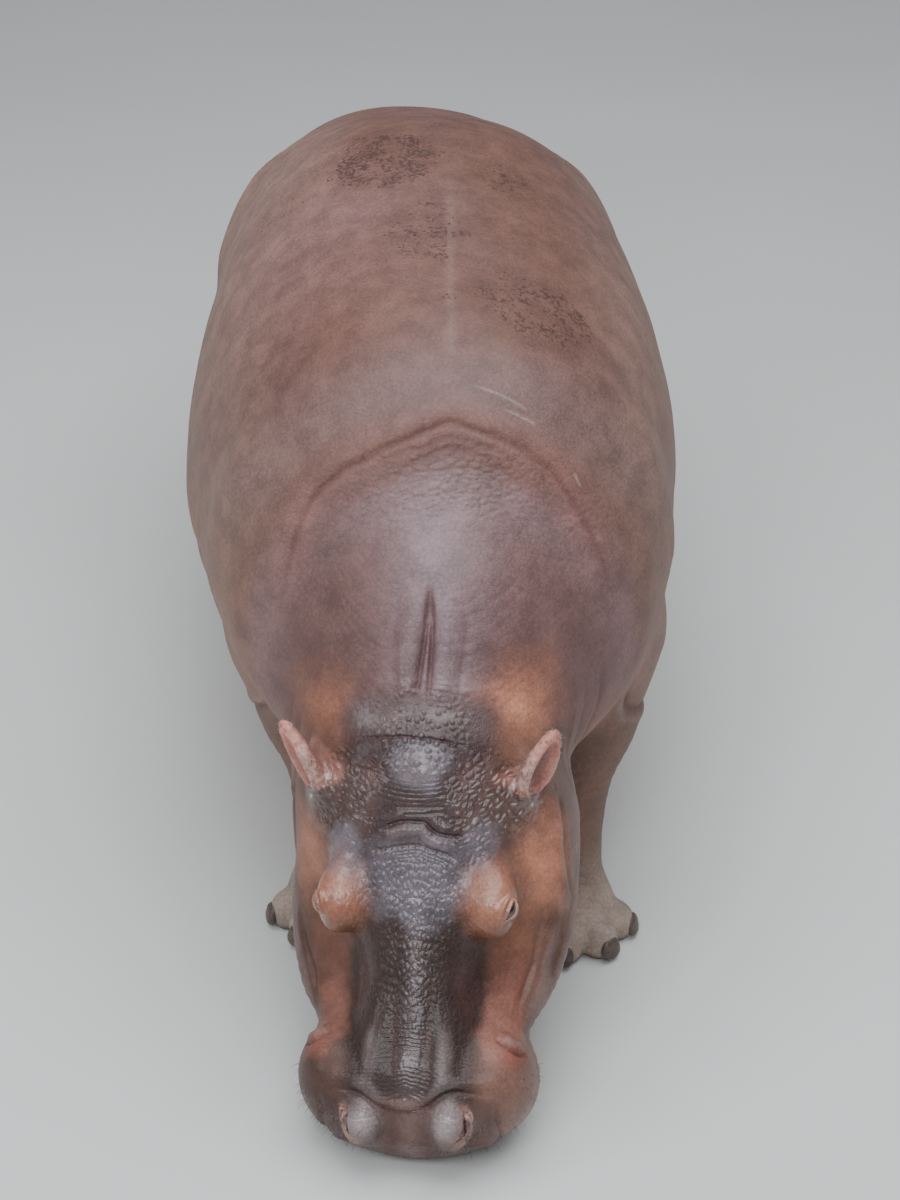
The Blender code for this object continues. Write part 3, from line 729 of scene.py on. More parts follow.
def forehead_folds(skin):
    """Two creases across the brow with a roll between them, and the finer lines beside them."""
    upper = [(-0.082, -0.168, -0.013), (-0.069, -0.162, -0.011), (-0.046, -0.154, -0.006),
             (-0.026, -0.148, -0.004), (0.001, -0.147, -0.004), (0.021, -0.149, -0.005),
             (0.037, -0.163, -0.010), (0.054, -0.170, -0.013), (0.086, -0.172, -0.019),
             (0.112, -0.161, -0.023)]
    lower = [(-0.098, -0.208, -0.028), (-0.079, -0.204, -0.023), (-0.052, -0.200, -0.018),
             (-0.028, -0.196, -0.015), (0.008, -0.193, -0.014), (0.034, -0.200, -0.017),
             (0.067, -0.209, -0.023), (0.092, -0.226, -0.030)]
    fold(skin, upper, 0.0038, 0.0050, fade=0.2, frame=HEAD)
    fold(skin, lower, 0.0040, 0.0052, fade=0.2, frame=HEAD)
    roll(skin, upper, 0.018, 0.012, 0.0060, fade=0.25, frame=HEAD)
    roll(skin, upper, -0.014, 0.009, 0.0030, fade=0.25, frame=HEAD)
    for dy, depth in ((-0.006, 0.0018), (-0.013, 0.0022), (-0.020, 0.0012)):
        fold(skin, [(x * 0.85, y + dy - 0.004, z) for x, y, z in lower[1:]], 0.0020, depth, fade=0.3,
             frame=HEAD, waver=0.002)
    fold(skin, [(-0.03, -0.134, 0), (0.017, -0.132, -0.001), (0.053, -0.128, -0.004), (0.079, -0.137, -0.010),
                (0.107, -0.137, -0.019)], 0.0026, 0.0026, frame=HEAD)
    fold(skin, [(-0.04, -0.120, 0), (0.017, -0.118, -0.001), (0.060, -0.116, -0.004)], 0.0022, 0.0018,
         frame=HEAD)
    fold(skin, [(-0.130, 0.005, -0.01), (-0.111, 0.013, -0.008), (-0.046, 0.018, 0.007),
                (0.001, 0.017, 0.007), (0.079, 0.008, -0.005), (0.10, 0.0, -0.01)], 0.0030, 0.0042, fade=0.2,
         frame=HEAD)
    q = skin.head
    top = (q[:, 2] > -0.12).astype(float)
    knob = np.hypot((q[:, 0] - 0.005) / 1.15, q[:, 1] + 0.040)
    skin.lift += top * 0.011 * hump(knob, 0.034)
    skin.lift -= top * 0.005 * hump(np.hypot(q[:, 0] + 0.085, q[:, 1] + 0.045), 0.030)
    skin.lift -= top * 0.004 * hump(np.hypot(q[:, 0] - 0.095, q[:, 1] + 0.040), 0.024)
    arcs = np.hypot(q[:, 0] / 1.2, q[:, 1] - 0.06) + 0.0025 * noise(q, 0.03, 71)
    skin.lift += (top * (ripples(arcs, 0.0095) - 1) * 0.0013 * hump(arcs - 0.145, 0.030) * hump(q[:, 0], 0.07)
                  * (q[:, 1] < -0.05))


def brow_grain(skin):
    """Fine broken wrinkles between and below the eyes' mounds, mostly running down the head."""
    q = skin.head
    near = inside(q, (-0.18, -0.70, -0.13), (0.18, -0.06, np.inf))
    p = q[near] + 0.004 * np.stack([noise(q[near], 0.02, 75 + i) for i in range(3)], axis=1)
    first, second = cells(p * (1, 0.55, 0.6), 0.0095, 77)
    amount = (hump(p[:, 0], 0.12)
              * (0.25 + 0.75 * step_up(p[:, 1], -0.14, -0.22) * step_up(p[:, 1], -0.60, -0.40)))
    amount *= 0.5 + 0.8 * step_up(noise(p, 0.035, 78), -0.5, 0.5)
    skin.lift[near] += (step_up(second - first, 0.0, 0.5) - 0.7) * 0.0021 * amount


def nose_forms(skin):
    """The plateau of the nose with its front edge, the wrinkles across it and the hollows at its sides."""
    edge = [(0.172, -0.660, -0.075), (0.155, -0.667, -0.066), (0.122, -0.668, -0.063),
            (0.101, -0.668, -0.059), (0.078, -0.673, -0.055), (0.059, -0.688, -0.056),
            (0.044, -0.700, -0.057), (0.011, -0.710, -0.056), (-0.026, -0.710, -0.060),
            (-0.053, -0.703, -0.058), (-0.074, -0.689, -0.057), (-0.091, -0.679, -0.059),
            (-0.116, -0.673, -0.064), (-0.143, -0.670, -0.065), (-0.175, -0.672, -0.080)]
    fold(skin, edge, 0.0062, 0.0062, fade=0.25, frame=HEAD, waver=0.002)
    roll(skin, edge, 0.018, 0.013, 0.0045, fade=0.3, frame=HEAD)
    q = skin.head
    top = step_up(q[:, 2], -0.15, -0.11)
    near = inside(q, (-0.17, -0.72, -0.13), (0.17, -0.42, np.inf))
    p = q[near]
    waver = 0.008 * noise(p * (1, 0.6, 1), 0.040, 81) + 0.0026 * noise(p, 0.012, 82)
    line = p[:, 1] + 0.55 * p[:, 0] ** 2 + waver
    amount = hump(p[:, 0] - 0.008, 0.062) * step_up(p[:, 1], -0.47, -0.56) * step_up(p[:, 1], -0.712, -0.690)
    amount += (0.6 * hump(p[:, 0] - 0.11, 0.035) * step_up(p[:, 1], -0.56, -0.62)
               * step_up(p[:, 1], -0.70, -0.67))
    amount += (0.5 * hump(p[:, 0] + 0.10, 0.035) * step_up(p[:, 1], -0.58, -0.64)
               * step_up(p[:, 1], -0.70, -0.67))
    skin.lift[near] += ((ripples(line, 0.0082) - 1) * 0.0014 * np.minimum(amount, 1)
                        * (0.55 + 0.75 * noise(p * (0.6, 1, 1), 0.022, 83)))
    for s in (1, -1):
        skin.lift -= top * 0.007 * hump(q[:, 0] - s * 0.112, 0.030) * hump(q[:, 1] + 0.455, 0.075)
        skin.lift += top * 0.005 * hump(q[:, 0] - s * 0.075, 0.022) * hump(q[:, 1] + 0.60, 0.075)
    skin.lift += top * 0.004 * hump(q[:, 0] - 0.006, 0.022) * hump(q[:, 1] + 0.46, 0.13)
    skin.lift -= top * 0.0035 * hump(q[:, 0] - 0.040, 0.013) * hump(q[:, 1] + 0.58, 0.09)
    skin.lift -= top * 0.0035 * hump(q[:, 0] + 0.030, 0.013) * hump(q[:, 1] + 0.56, 0.09)


def nostrils(skin):
    """A crescent slit down the outer side of each nostril's mound, with a rolled rim outside it."""
    for s in (1, -1):
        arc = nostril_slit(s)[::s]
        fold(skin, arc, 0.0036, 0.0070, fade=0.3, frame=HEAD)
        roll(skin, arc, -0.0100, 0.0045, 0.0040, fade=0.3, frame=HEAD)
        roll(skin, arc, 0.024, 0.013, 0.0040, fade=0.3, frame=HEAD)
    q = skin.head
    near = inside(q, (-0.20, -np.inf, -0.20), (0.20, -0.66, np.inf))
    p = q[near]
    first, second = cells(p, 0.010, 91)
    amount = 0.35 + 0.65 * step_up(noise(p, 0.05, 92), -0.2, 0.5)
    mound = sum(hump(np.hypot((p[:, 0] - s * 0.086) / 0.8, p[:, 1] + 0.735), 0.040) for s in (1, -1))
    skin.lift[near] += ((step_up(second - first, 0.0, 0.6) - 0.6) * 0.0016 * amount
                        * (1 - 0.8 * np.minimum(mound, 1)) * step_up(p[:, 1], -0.68, -0.71))
    for s in (1, -1):
        skin.lift += (0.009 * hump(np.hypot((q[:, 0] - s * 0.086) / 0.80, q[:, 1] + 0.718), 0.034)
                      * (q[:, 2] > -0.16))
        beside_lip = [(0.176, -0.655, -0.070), (0.177, -0.680, -0.080), (0.175, -0.715, -0.105),
                      (0.172, -0.745, -0.16), (0.165, -0.755, -0.22)]
        fold(skin, mirrored(beside_lip, s), 0.0075, 0.0065, fade=0.4, frame=HEAD)


def lips(skin):
    """The mouth's line, the rolls at its corners, and the creases that run back from them over the cheeks."""
    q = skin.head
    level = mouth_level(q[:, 1])
    open_along = step_up(q[:, 1], -0.12, -0.30)
    flesh = (q[:, 2] < -0.1) & (np.abs(q[:, 0]) < 0.34) & (q[:, 1] < 0)
    skin.lift -= 0.018 * hump(q[:, 2] - level, 0.008) * open_along * flesh
    skin.lift += 0.008 * hump(q[:, 2] - level - 0.030, 0.020) * open_along * flesh
    skin.lift += 0.006 * hump(q[:, 2] - level + 0.030, 0.020) * open_along * flesh
    wrinkle = q[:, 1] + 0.15 * q[:, 2] + 0.006 * noise(q, 0.05, 94)
    skin.lift += (flesh * (ripples(wrinkle, 0.022) - 1) * 0.0030 * hump(q[:, 2] - level, 0.050)
                  * step_up(q[:, 1], -0.72, -0.60) * step_up(q[:, 1], -0.28, -0.42))
    left = [(0.241, -0.282, -0.167), (0.224, -0.382, -0.180), (0.206, -0.462, -0.179),
            (0.189, -0.542, -0.154)]
    right = [(-0.261, -0.303, -0.193), (-0.247, -0.383, -0.199), (-0.220, -0.462, -0.189),
             (-0.200, -0.521, -0.175)]
    for s, run in ((1, left), (-1, right[::-1])):
        fold(skin, run, 0.0080, 0.0050, fade=0.35, frame=HEAD, waver=0.004)
        roll(skin, run, -0.026, 0.018, 0.0050, frame=HEAD)
        for shift in (0.030, 0.055):
            more = [(x + s * 0.004, y + 0.02, z - shift) for x, y, z in run]
            fold(skin, more, 0.007, 0.0026, fade=0.4, frame=HEAD, waver=0.006)
        corner = mirrored([(0.165, -0.545, -0.095), (0.188, -0.572, -0.104), (0.204, -0.588, -0.115),
                           (0.222, -0.594, -0.150)], s)[::-s]
        fold(skin, corner, 0.0055, 0.0085, fade=0.3, frame=HEAD)
        roll(skin, corner, 0.020, 0.014, 0.0075, frame=HEAD)
    fold(skin, [(0.256, -0.060, -0.180), (0.262, -0.120, -0.188), (0.275, -0.190, -0.200),
                (0.283, -0.277, -0.250)], 0.0100, 0.0045, ridge=0.003, frame=HEAD, waver=0.004)
    fold(skin, [(-0.262, -0.060, -0.180), (-0.272, -0.140, -0.195), (-0.282, -0.220, -0.230)], 0.0100, 0.0040,
         ridge=0.003, frame=HEAD)


# Where the left eye looks, along the slit between its lids, and up across it.
EYE_AXES = ((0.80, -0.18, 0.56), (-0.31, -0.93, 0.20), (-0.49, 0.33, 0.80))


def round_eye(q, s):
    """Skin near one eye: which points, the way and the distance to each from the eye's centre, and its angles
    along the slit, across the slit and away from where the eye looks."""
    gaze, along, up = (np.array(axis) * (s, 1, 1) / np.linalg.norm(axis) for axis in EYE_AXES)
    away = q - np.array(EYE) * (s, 1, 1)
    far = np.linalg.norm(away, axis=1)
    near = np.flatnonzero(far < 0.085)
    d = away[near] / far[near, None]
    level, height = np.arctan2(d @ along, d @ gaze), np.arcsin(np.clip(d @ up, -1, 1))
    return near, d, far[near], level, height, np.arccos(np.clip(d @ gaze, -1, 1))


def lid_edge(u, v):
    """How far outside the opening between the lids, as an angle."""
    half = np.where(v > 0, 0.34, 0.26) * (1 - (u / 0.98) ** 2)
    return np.abs(v + 0.02) - half


def eyelids(skin):
    """Skin drawn over each eyeball up to the slit, thick-edged, and the folds round it."""
    q = skin.head.copy()
    for s in (1, -1):
        near, d, far, u, v, turn = round_eye(q, s)
        edge = lid_edge(u, v)
        above = step_up(v, -0.05, 0.15)
        lid = (EYE_RADIUS + 0.0038 + (0.0006 + 0.0012 * above) * hump(edge - 0.09, 0.07)
               - 0.0012 * hump(edge - 0.28, 0.08))
        lid = lid + 0.0012 * above + 0.0030 * above * hump(edge - 0.50, 0.15)
        lid = np.where(edge < 0.05, lid - 0.0125 * step_up(edge, 0.05, -0.05), lid)
        share = step_up(turn, 1.50, 0.80)
        q[near] = np.array(EYE) * (s, 1, 1) + d * (far + (lid - far) * share)[:, None]
    skin.points = placed(q, HEAD)
    skin.read()
    q = skin.head
    for s in (1, -1):
        near, _, _, u, v, turn = round_eye(q, s)
        edge = lid_edge(u, v)
        wave = 0.05 * noise(q[near], 0.02, 96)
        skin.lift[near] -= 0.0036 * hump(edge + wave - 0.78, 0.10) * step_up(v, 0.1, 0.4)
        skin.lift[near] += 0.0022 * hump(edge - 0.56, 0.11) * step_up(v, 0.1, 0.4)
        skin.lift[near] -= 0.0016 * hump(edge + wave - 1.05, 0.05) * step_up(v, 0.1, 0.4)
        skin.lift[near] += 0.0005 * hump(turn - 1.1, 0.4) * (ripples(edge + 2 * wave, 0.20) - 1)
        skin.lift[near] -= 0.0028 * hump(edge + wave - 0.62, 0.09) * step_up(v, 0.0, -0.3)
        reach = np.hypot((q[:, 0] - s * 0.152) / 0.060, (q[:, 1] + 0.300) / 0.078)
        apron = hump(reach - 1.12, 0.30) * step_up(q[:, 2], -0.16, -0.12)
        skin.lift += (0.012 * apron * (1 + 0.5 * step_up(q[:, 1], -0.30, -0.24))
                      * step_up(s * q[:, 0], 0.24, 0.19))
        low = (hump(np.hypot((q[:, 0] - s * 0.146) / 0.042, (q[:, 1] + 0.372) / 0.038), 1.0)
               * step_up(q[:, 2], -0.16, -0.12))
        skin.lift += 0.013 * low


def ears(skin):
    """Each ear drawn in to its tip and hollowed, with ribs inside, a lumpy rim and creases round its root."""
    for s in (1, -1):
        ear = placed(skin.points, ear_frame(s).inverted())
        near = inside(ear, (-0.07, -0.06, 0.01), (0.07, 0.06, 0.20))
        leaf = ear[near]
        draw = step_up(leaf[:, 2], 0.085, 0.165)
        leaf[:, 0] = leaf[:, 0] * (1 - 0.30 * draw) + s * 0.006 * draw
        leaf[:, 2] += 0.008 * draw
        skin.points[near] = placed(leaf, ear_frame(s))
    skin.read()
    for s in (1, -1):
        ear = placed(skin.points, ear_frame(s).inverted())
        front = step_up(skin.normals @ np.array(ear_frame(s))[:3, 1], 0.2, -0.4)
        hollow = (front * hump(np.hypot(ear[:, 0] / 0.024, (ear[:, 2] - 0.078) / 0.060), 1.0)
                  * within(ear, (-0.05, -0.06, 0.01), (0.05, 0.03, 0.16), 0.006))
        ribs = ripples(ear[:, 0] + 0.10 * ear[:, 2] + 0.002 * noise(ear, 0.012, 98), 0.0085)
        skin.lift += hollow * (-0.0075 + (ribs - 1) * 0.0016)
        root = hump(ear[:, 2] - 0.018, 0.016) * hump(np.hypot(ear[:, 0], ear[:, 1]), 0.055)
        skin.lift += root * (ripples(ear[:, 2] + 0.003 * noise(ear, 0.02, 99), 0.010) - 1) * 0.0018
        whole = within(ear, (-0.060, -0.045, 0.03), (0.060, 0.035, 0.20), 0.008)
        rim = whole * step_up(np.hypot(ear[:, 0] / 0.036, (ear[:, 2] - 0.080) / 0.078), 0.78, 0.95)
        skin.lift += rim * (0.0012 + 0.0020 * noise(ear, 0.011, 100)) * np.where(ear[:, 0] * s < 0, 1.3, 0.7)


def pebbles(skin):
    """Round grains over the poll and before the ears, the outer ones drawn out along their rows."""
    q = skin.head
    near = inside(q, (-0.28, -0.25, -0.18), (0.28, 0.24, np.inf))
    p = q[near]
    first, second = cells(p * (1, 1, 0.6), 0.0150, 11, 0.7)
    grain = step_up(second - first, 0.06, 0.62) * step_up(first, 0.62, 0.2)
    ragged = 0.5 * noise(p, 0.030, 15)
    poll = (hump((p[:, 0] - 0.005) / 1.1, 0.090) * step_up(p[:, 1], -0.075, -0.030)
            * step_up(p[:, 1], 0.20, 0.05))
    poll = poll * step_up(poll + 0.4 * ragged, 0.05, 0.45)
    skin.lift[near] += (grain * 0.0054 - 0.001) * poll
    for s, middle, reach in ((1, (0.150, -0.105), (0.090, 0.098)), (-1, (-0.150, -0.090), (0.072, 0.085))):
        row = p[:, 0] * 0.75 * s - p[:, 1] * 0.66
        bent = 0.006 * noise(p, 0.025, 16)
        turned_p = np.column_stack([p[:, 0] * 0.66 * s + p[:, 1] * 0.75 + bent, row - bent, p[:, 2] * 0.5])
        first, second = cells(turned_p * (0.72, 1.15, 1), 0.0135, 13, 0.8)
        grain = step_up(second - first, 0.05, 0.60) * (0.75 + 0.5 * ragged)
        side = step_up(np.hypot((p[:, 0] - middle[0]) / reach[0], (p[:, 1] - middle[1]) / reach[1]) + ragged,
                       1.25, 0.60)
        skin.lift[near] += (grain * 0.0050 - 0.0026) * side * (1 - np.minimum(poll, 1))


def sculpted(skin):
    """All the relief, in two goes: the folds first, then what has to follow the folded surface."""
    body_forms(skin)
    neck_folds(skin)
    leg_wrinkles(skin)
    tail_wrinkles(skin)
    nose_forms(skin)
    nostrils(skin)
    lips(skin)
    forehead_folds(skin)
    skin.relief = skin.lift.copy()
    skin.press()
    eyelids(skin)
    ears(skin)
    brow_grain(skin)
    pebbles(skin)
    skin.relief = skin.relief + skin.lift
    skin.press()
    skin.points[:, 2] = np.maximum(skin.points[:, 2], 0)


# ---------------------------------------------------------------- colour of the hide
def linear(tone):
    return (np.array(tone, float) / 255) ** 2.2


BACK, RUMP, FLANK, BELLY = (112, 80, 70), (130, 94, 84), (148, 118, 106), (146, 108, 98)
SPECKLED = (96, 66, 58)
# the feet's tone is paler than their own by a painted wet sheen
LEG, FOOT_WITH_SHEEN, SOLE = (114, 88, 76), (180, 162, 150), (120, 100, 92)
FOREHEAD, NOSE, CHEEK, LIP = (64, 46, 47), (52, 36, 33), (108, 76, 64), (98, 70, 61)
ORANGE, PINK, FLESHY = (184, 116, 88), (158, 104, 90), (168, 108, 86)


class Paint:
    """The hide's colour and finish while they are laid on: wet where water shines, speckle where dark marks
    gather, grain where the hide is coarse and smooth where it isn't."""

    def __init__(self, skin):
        self.skin, self.q, self.p = skin, skin.head, skin.points
        self.tone = np.tile(linear(BACK), (len(self.p), 1))
        levels = [np.full(len(self.p), v) for v in (0.10, 0.20, 0.45, 0.0)]
        self.wet, self.speckle, self.grain, self.smooth = levels

    def lay(self, tone, amount):
        self.tone += (linear(tone) - self.tone) * np.clip(amount, 0, 1)[:, None]

    def spot(self, points, centre, reach, soft=0.35):
        """1 in the middle of an oval patch, 0 outside it, with a ragged edge."""
        d = np.linalg.norm((points - np.array(centre)) / np.array(reach), axis=1)
        near = np.flatnonzero(d < 2.2)
        out = np.zeros(len(points))
        out[near] = step_up(d[near] + 0.35 * layered(points[near], min(reach) * 0.6, 17), 1 + soft, 1 - soft)
        return out

    def line(self, points, width, frame=Matrix()):
        line = curve_through(self.skin.onto(placed(np.array(points, float), frame)))
        near, across, along = beside(self.skin, line, 3 * width)
        out = np.zeros(len(self.p))
        out[near] = hump(across, width) * step_up(np.minimum(along, 1 - along), 0, 0.2)
        return out


def body_colours(paint):
    """The body from its broad colours to its small ones: flecks, spine, creases, legs, feet and tail."""
    p, normal = paint.p, paint.skin.normals
    broad = layered(p, 0.35, 3)
    paint.lay(RUMP, step_up(p[:, 1], 0.2, 0.9) * 0.7)
    paint.lay(FLANK, step_up(np.abs(p[:, 0] + 0.02) + 0.06 * broad, 0.24, 0.46) * 0.85
              * step_up(p[:, 1], -0.95, -0.60))
    paint.lay((142, 104, 100), paint.spot(p, (-0.22, -0.05, 1.36), (0.20, 0.30, 0.3), 0.8) * 0.5)
    paint.lay(BELLY, step_up(normal[:, 2], 0.0, -0.6) * 0.8)
    cloudy = layered(p, 0.11, 4)
    paint.lay((132, 98, 80), step_up(broad + 0.3 * cloudy, 0.0, 0.7) * 0.25)
    paint.lay((124, 92, 94), step_up(broad - 0.3 * cloudy, 0.0, -0.7) * 0.30)
    paint.lay((88, 62, 54), step_up(cloudy, 0.10, 0.70) * 0.20)
    paint.lay((158, 122, 110), step_up(cloudy, -0.15, -0.75) * 0.14)
    # painted light: the upward-facing back and flank on the animal's right side made paler and pinker, as the
    # lit side
    paint.lay((176, 138, 128), step_up(p[:, 0], -0.10, -0.34) * step_up(p[:, 1], -0.5, 0.5)
              * step_up(normal[:, 2], 0.0, 0.5) * 0.55)
    under = step_up(normal[:, 2], 0.25, -0.35) * step_up(p[:, 2], 0.36, 0.46)
    paint.lay((160, 116, 104), under * (0.35 + 0.25 * cloudy))
    # painted sheen: paler grey-lilac over the top of the shoulders, which are also a little wet
    shoulder_sheen = hump(p[:, 1] + 0.66, 0.10) * step_up(p[:, 2], 0.9, 1.1)
    paint.lay((122, 98, 96), shoulder_sheen * 0.55)
    neck = step_up(p[:, 1], -0.74, -0.86) * step_up(p[:, 2], 0.55, 0.75)
    paint.lay((116, 88, 86), neck * 0.85)
    # painted sheen: paler grey-lilac down the middle of the neck and in a band across it near the crease over
    # the shoulders
    paint.lay((140, 118, 124), neck * hump(p[:, 0] + 0.04, 0.09) * 0.8)
    paint.lay((150, 126, 130), neck * hump(p[:, 1] + 0.80, 0.05) * 0.5)
    paint.lay((104, 76, 72), neck * hump(p[:, 0] + 0.25, 0.08) * 0.6)
    for side in (1, -1):
        for at, reach, much in (((side * 0.36, 1.02, 0.98), (0.10, 0.14, 0.16), 0.5),
                                ((side * 0.52, 0.10, 0.70), (0.2, 0.24, 0.12), 0.35),
                                ((side * 0.47, 0.62, 0.85), (0.2, 0.10, 0.14), 0.4)):
            paint.speckle = np.maximum(paint.speckle, much * paint.spot(p, at, reach))
    for at, reach, much in (((-0.10, 0.21, 1.39), (0.15, 0.17, 0.2), 1.0),
                            ((0.15, 0.13, 1.38), (0.06, 0.08, 0.2), 0.9),
                            ((-0.03, -0.15, 1.38), (0.09, 0.16, 0.2), 0.85),
                            ((0.18, -0.40, 1.34), (0.17, 0.14, 0.2), 0.9),
                            ((-0.33, 0.18, 1.29), (0.09, 0.10, 0.2), 0.7),
                            ((-0.14, -0.22, 1.37), (0.12, 0.10, 0.2), 0.6),
                            ((0.02, 0.50, 1.39), (0.14, 0.14, 0.2), 0.7),
                            ((0.12, -0.12, 1.38), (0.06, 0.08, 0.2), 0.4)):
        paint.speckle = np.maximum(paint.speckle, much * paint.spot(p, at, reach))
    paint.lay(SPECKLED, paint.speckle * 0.40)
    spine = [(0.03, 0.10, 1.405), (0.028, -0.008, 1.402), (0.010, -0.426, 1.375), (0.0, -0.66, 1.29)]
    paint.lay((170, 146, 134), paint.line(spine, 0.009) * 0.17)
    crease = SHOULDER_CREASE[::-1]
    paint.lay((136, 92, 84), paint.line(crease, 0.040) * 0.5)
    # painted shade: a thin dark line along the bottom of the crease over the shoulders
    paint.lay((84, 54, 50), paint.line(crease, 0.007) * (0.45 + 0.4 * layered(p, 0.08, 19)))
    for scratch in ([(0.040, -0.655, 1.30), (0.10, -0.668, 1.28), (0.16, -0.685, 1.25)],
                    [(0.10, -0.690, 1.262), (0.175, -0.705, 1.232)],
                    [(0.235, -0.742, 1.14), (0.250, -0.756, 1.115)]):
        paint.lay((190, 172, 166), paint.line(scratch, 0.0028) * 0.32)
    for s in (1, -1):
        for end, (x, y) in (("fore", FORE_SOLE), ("hind", HIND_SOLE)):
            y += FORE_STEP_BACK if end == "fore" and s < 0 else 0
            leg = within(p, (s * x - 0.25, y - 0.35, -0.1), (s * x + 0.25, y + 0.30, 0.50), 0.05)
            paint.lay(LEG, leg * 0.85)
            # the feet made paler towards the floor: their own tone with painted wet sheen
            paint.lay(FOOT_WITH_SHEEN, leg * step_up(p[:, 2] + 0.05 * broad + 0.03 * cloudy, 0.25, 0.06) * 0.75)
    paint.lay(SOLE, step_up(p[:, 2], 0.022, 0.006))
    tail = step_up(p[:, 1], 1.36, 1.42)
    paint.lay((128, 98, 90), tail * 0.7)
    paint.lay((150, 104, 96), within(p, (-0.12, 1.15, 0.45), (0.14, 1.45, 0.86), 0.05)
              * step_up(normal[:, 1], -0.1, 0.4) * 0.5)
    for s, at in ((1, (0.130, -1.085, 0.775)), (-1, (-0.262, -1.020, 0.725))):
        glow = paint.spot(p, at, (0.080, 0.105, 0.105), 0.9)
        paint.lay(ORANGE if s > 0 else (150, 98, 76), glow * 0.90)
        paint.lay((236, 162, 132), paint.spot(p, at, (0.055, 0.07, 0.07), 0.9) * (0.7 if s > 0 else 0.15))
    paint.speckle = np.maximum(paint.speckle, 0.42 * step_up(cloudy, -0.05, 0.6)
                               * step_up(normal[:, 2], 0.2, 0.7) * (1 - neck))
    paint.wet += 0.25 * neck * hump(p[:, 0] + 0.04, 0.14) + 0.12 * shoulder_sheen


def cheek_colours(paint, head, blotch):
    """Brown over the whole head, paler below, with darker and pinker patches."""
    z = paint.q[:, 2]
    paint.lay(CHEEK, head * 0.85)
    paint.lay((138, 108, 96), head * step_up(z, -0.24, -0.36) * 0.5)
    patchy = layered(paint.q, 0.045, 6)
    paint.lay((84, 60, 50), head * step_up(blotch + 0.5 * patchy, 0.10, 0.55) * 0.50)
    paint.lay((160, 118, 106), head * step_up(blotch - 0.5 * patchy, -0.20, -0.60) * 0.35)


def crown_colours(paint, head, blotch):
    """The dark forehead, and the browner pad in front of each ear. Gives back where both are."""
    x, y, z = paint.q.T
    wide = np.abs(x)
    crown = step_up(wide + 0.020 * blotch, 0.185, 0.115) * step_up(y, 0.125, 0.060)
    crown = crown * step_up(y, -0.34, -0.26) * step_up(z, -0.16, -0.10)
    paint.lay(FOREHEAD, crown * 0.95)
    paint.lay((112, 92, 92), crown * step_up(y, 0.0, 0.06) * 0.8)
    pads = step_up(np.hypot((wide - 0.160) / 0.085, (y + 0.105) / 0.085), 1.25, 0.75) * head
    paint.lay((92, 70, 64), pads * 0.85)
    return crown, pads


def nose_colours(paint, top, blotch):
    """The dark bridge of the nose, with painted shade in its darkest hollows, and painted sheen in the paler
    streak down its middle and on a ridge beside it.
    """
    x, y, _ = paint.q.T
    bridge = step_up(np.abs(x) + 0.014 * blotch, 0.160, 0.110) * step_up(y, -0.24, -0.32) * top
    paint.lay(NOSE, bridge * 0.95)
    # painted shade: the hollows beside the bridge darkened nearly to black
    hollows = top * sum(hump(x - s * 0.112, 0.026) for s in (1, -1)) * hump(y + 0.45, 0.085)
    paint.lay((42, 28, 25), hollows * 0.8)
    # painted sheen: a paler lilac streak down the middle, and a paler line along the ridge on the animal's
    # left
    streak = top * hump(x - 0.008, 0.017 + 0.020 * step_up(y, -0.45, -0.65)) * step_up(y, -0.24, -0.34)
    paint.lay((92, 74, 76), streak * 0.55 * step_up(y, -0.72, -0.69))
    paint.lay((86, 68, 70), top * hump(x - 0.070, 0.012) * hump(y + 0.60, 0.08) * 0.6)
    return bridge


def muzzle_colours(paint, head):
    """The lips, paler below and, as painted light, to the animal's left, and the darker front between the
    nostrils.
    Painted shade darkens the head's right side forward of the ears.
    """
    x, y, z = paint.q.T
    wide = np.abs(x)
    muzzle = step_up(y, -0.560, -0.640)
    paint.lay(LIP, muzzle * step_up(wide, 0.10, 0.17) * 0.85)
    # painted light: the lips on the animal's left made paler, as the lit side
    paint.lay((140, 102, 88), muzzle * step_up(x, 0.12, 0.18) * 0.75)
    paint.lay((150, 118, 104), muzzle * step_up(z, -0.17, -0.26) * 0.7)
    front = step_up(y, -0.672, -0.695) * head
    paint.lay((88, 62, 56), front * step_up(wide, 0.19, 0.16) * 0.9)
    paint.lay((116, 78, 68), front * hump(x, 0.04) * 0.5)
    # painted shade: the animal's right side of the head darkened forward of the ears
    paint.lay((60, 40, 34), head * step_up(x, -0.10, -0.18) * step_up(y, 0.0, -0.15) * 0.55)
    return front


def cheek_patches(paint, s):
    """Pink at the corner of the mouth and up the side of the nose, thinner on the right side as painted
    shade, and orange beside the brow.
    """
    q = paint.q
    # painted shade: the pink patches on the animal's right side are laid thinner, so that side stays darker
    much = 1.0 if s > 0 else 0.7
    paint.lay(PINK, paint.spot(q, (s * 0.175, -0.53, -0.12), (0.042, 0.085, 0.09)) * 0.85 * much)
    paint.lay((128, 78, 62), paint.spot(q, (s * 0.178, -0.40, -0.16), (0.040, 0.10, 0.07)) * 0.65 * much)
    corner = paint.spot(q, (s * 0.200, -0.590, -0.110), (0.028, 0.024, 0.05), 0.8)
    paint.lay((150, 86, 74), corner * 0.7 * much)
    temple = paint.spot(q, (s * 0.240, -0.205, -0.135), (0.050, 0.085, 0.075), 0.8)
    paint.lay((206, 134, 106), temple * (0.85 if s > 0 else 0.55))
    paint.lay((146, 98, 76), paint.spot(q, (s * 0.195, -0.345, -0.120), (0.050, 0.065, 0.07), 0.8) * 0.6)


